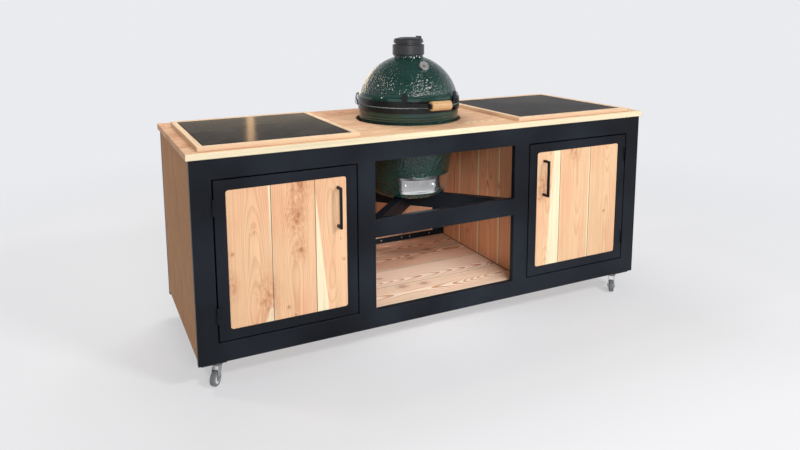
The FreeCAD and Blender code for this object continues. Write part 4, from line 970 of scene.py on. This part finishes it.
class GRILLTABLE_OT_stage(bpy.types.Operator):
    """Lays the pale floor, hangs the lamps and sets up the camera"""

    bl_idname = "grill_table.stage"
    bl_label = "Floor, light and camera"

    def execute(self, context):
        scene = context.scene
        stage = scene.grill_table_stage
        pale = tuple(colours().background)

        def seen_rays(nodes):
            """1 for rays that show the background: straight, mirrored or through glass."""
            path = nodes.add("ShaderNodeLightPath", None, (), "Is Camera Ray")
            outputs = path.socket.node.outputs
            return (path + Val(nodes, outputs["Is Glossy Ray"])
                    + Val(nodes, outputs["Is Transmission Ray"])).least(1.0)

        world = bpy.data.worlds.new("surroundings")
        world.use_nodes = True
        scene.world = world
        w = Nodes(world.node_tree)
        seen = seen_rays(w)
        up = w.add("ShaderNodeTexCoord", None, (), "Generated").split()[2]
        mirrored = w.add("ShaderNodeLightPath", None, (), "Is Glossy Ray")
        ceiling = mirrored * up.ease(0.1, 0.6) * 0.75  # darker overhead, in reflections only
        light = w.add("ShaderNodeBackground", None, {
            "Color": w.blend((1.0, 0.98, 0.96), pale, seen),
            "Strength": (seen * (1.0 - stage.ambient) + stage.ambient) * (1.0 - ceiling)})
        w.add("ShaderNodeOutputWorld", None, {"Surface": light})

        floor = start("floor", "grid", x_subdivisions=12, y_subdivisions=12, size=60)
        f = Finish("pale_floor")
        near_edge, far_edge = 1.6, 4.5
        far = (f.x * f.x + f.y * f.y).root().ease(near_edge, far_edge)
        lit = f.add("ShaderNodeBsdfDiffuse", None, {"Color": (0.755, 0.765, 0.795)})
        glow = f.add("ShaderNodeEmission", None, {"Color": f.blend(srgb("f7f8fb"), pale, far)})
        share = seen_rays(f) * (far * 0.55 + 0.45)
        f.add("ShaderNodeOutputMaterial", None,
              {"Surface": f.add("ShaderNodeMixShader", None, (share, lit, glow))})
        floor.data.materials.append(f.material)

        def lamp(name, at, to, power, wide, tall, tint=(1, 1, 1), mirrored=True,
                 spread=180):
            """Hangs a rectangular lamp that shines from one place to another."""
            data = bpy.data.lights.new(name, "AREA")
            data.shape, data.size, data.size_y = "RECTANGLE", wide, tall
            data.energy, data.color, data.spread = power, tint, math.radians(spread)
            lamp_object = bpy.data.objects.new(name, data)
            scene.collection.objects.link(lamp_object)
            lamp_object.location = at
            lamp_object.rotation_euler = (Vector(to) - Vector(at)).to_track_quat(
                "-Z", "Y").to_euler()
            lamp_object.visible_camera = False
            lamp_object.visible_glossy = mirrored

        lamp("main_lamp", (2.2, -4.7, 4.2), (0.1, 0, 0.7), stage.key, 1.1, 0.6, (1, 0.985, 0.96))
        lamp("fill_lamp", (-2.7, 0.9, 4.0), (0, 0, 1.0), stage.fill, 0.34, 0.34,
             (1, 0.94, 0.84))
        lamp("front_lamp", (-1.0, -4.8, 2.3), (0.2, 0, 0.5), stage.front, 1.0, 0.6)
        lamp("top_lamp", (0.0, 1.9, 3.9), (0, -0.3, 0.4), stage.top, 2.2, 1.2, mirrored=False)
        lamp("warm_strip", (-0.03, 2.9, 1.75), (-0.75, 0.0, 0.95), stage.strip, 0.06, 0.9,
             (1, 0.62, 0.3), spread=30)
        lamp("warm_glow", (0.1, 3.0, 1.22), (-0.7, 0.0, 0.97), stage.glow, 1.5, 0.3,
             (1, 0.75, 0.42))
        lamp("bay_lamp", (0.0, -2.6, 1.9), (0, 0, 0.18), stage.bay, 0.5, 0.3, spread=24)

        camera_data = bpy.data.cameras.new("camera")
        camera = bpy.data.objects.new("camera", camera_data)
        scene.collection.objects.link(camera)
        # Place, turn and shift solved from the corners of the frame, doors and slabs
        camera.location = (-1.4833, -2.7787, 1.4462)
        camera.rotation_euler = [math.radians(a) for a in (81.5191, 0.6234, -24.4514)]
        camera_data.sensor_width, camera_data.lens = 36, stage.lens
        camera_data.shift_x, camera_data.shift_y = 0.0422, -0.14375
        camera_data.clip_end = 200
        scene.camera = camera
        scene.view_settings.view_transform = "Standard"
        return {"FINISHED"}


STEPS = (GRILLTABLE_OT_stage, GRILLTABLE_OT_steel, GRILLTABLE_OT_timber, GRILLTABLE_OT_stone,
         GRILLTABLE_OT_grill, GRILLTABLE_OT_springs, GRILLTABLE_OT_casters, GRILLTABLE_OT_dial,
         GRILLTABLE_OT_bolts, GRILLTABLE_OT_screws)


class GRILLTABLE_PT_panel(bpy.types.Panel):
    """Lists the steps that finish the table"""

    bl_label = "Grill table"
    bl_idname = "GRILLTABLE_PT_panel"
    bl_space_type = "VIEW_3D"
    bl_region_type = "UI"
    bl_category = "Grill table"

    def draw(self, context):
        for step in STEPS:
            self.layout.operator(step.bl_idname)
        for group in GROUPS:
            held = getattr(context.scene, f"grill_table_{group}")
            for key in held.__annotations__:
                self.layout.prop(held, key)


GROUPS = {"colours": GrillTableColours, "sizes": GrillTableSizes, "stage": GrillTableStage}


def register():
    for kind in (*GROUPS.values(), *STEPS, GRILLTABLE_PT_panel):
        bpy.utils.register_class(kind)
    for key, kind in GROUPS.items():
        setattr(bpy.types.Scene, f"grill_table_{key}", bpy.props.PointerProperty(type=kind))


def unregister():
    for key in GROUPS:
        delattr(bpy.types.Scene, f"grill_table_{key}")
    for kind in (GRILLTABLE_PT_panel, *reversed(STEPS), *reversed(GROUPS.values())):
        bpy.utils.unregister_class(kind)


def main():
    own = set(NODES.values()) | set(frame["bodies"].values())
    for extra in [o for o in bpy.data.objects if o not in own]:
        bpy.data.objects.remove(extra)
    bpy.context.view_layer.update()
    register()
    for step in STEPS:
        family, name = step.bl_idname.split(".")
        getattr(getattr(bpy.ops, family), name)()


if __name__ == "__main__":
    main()
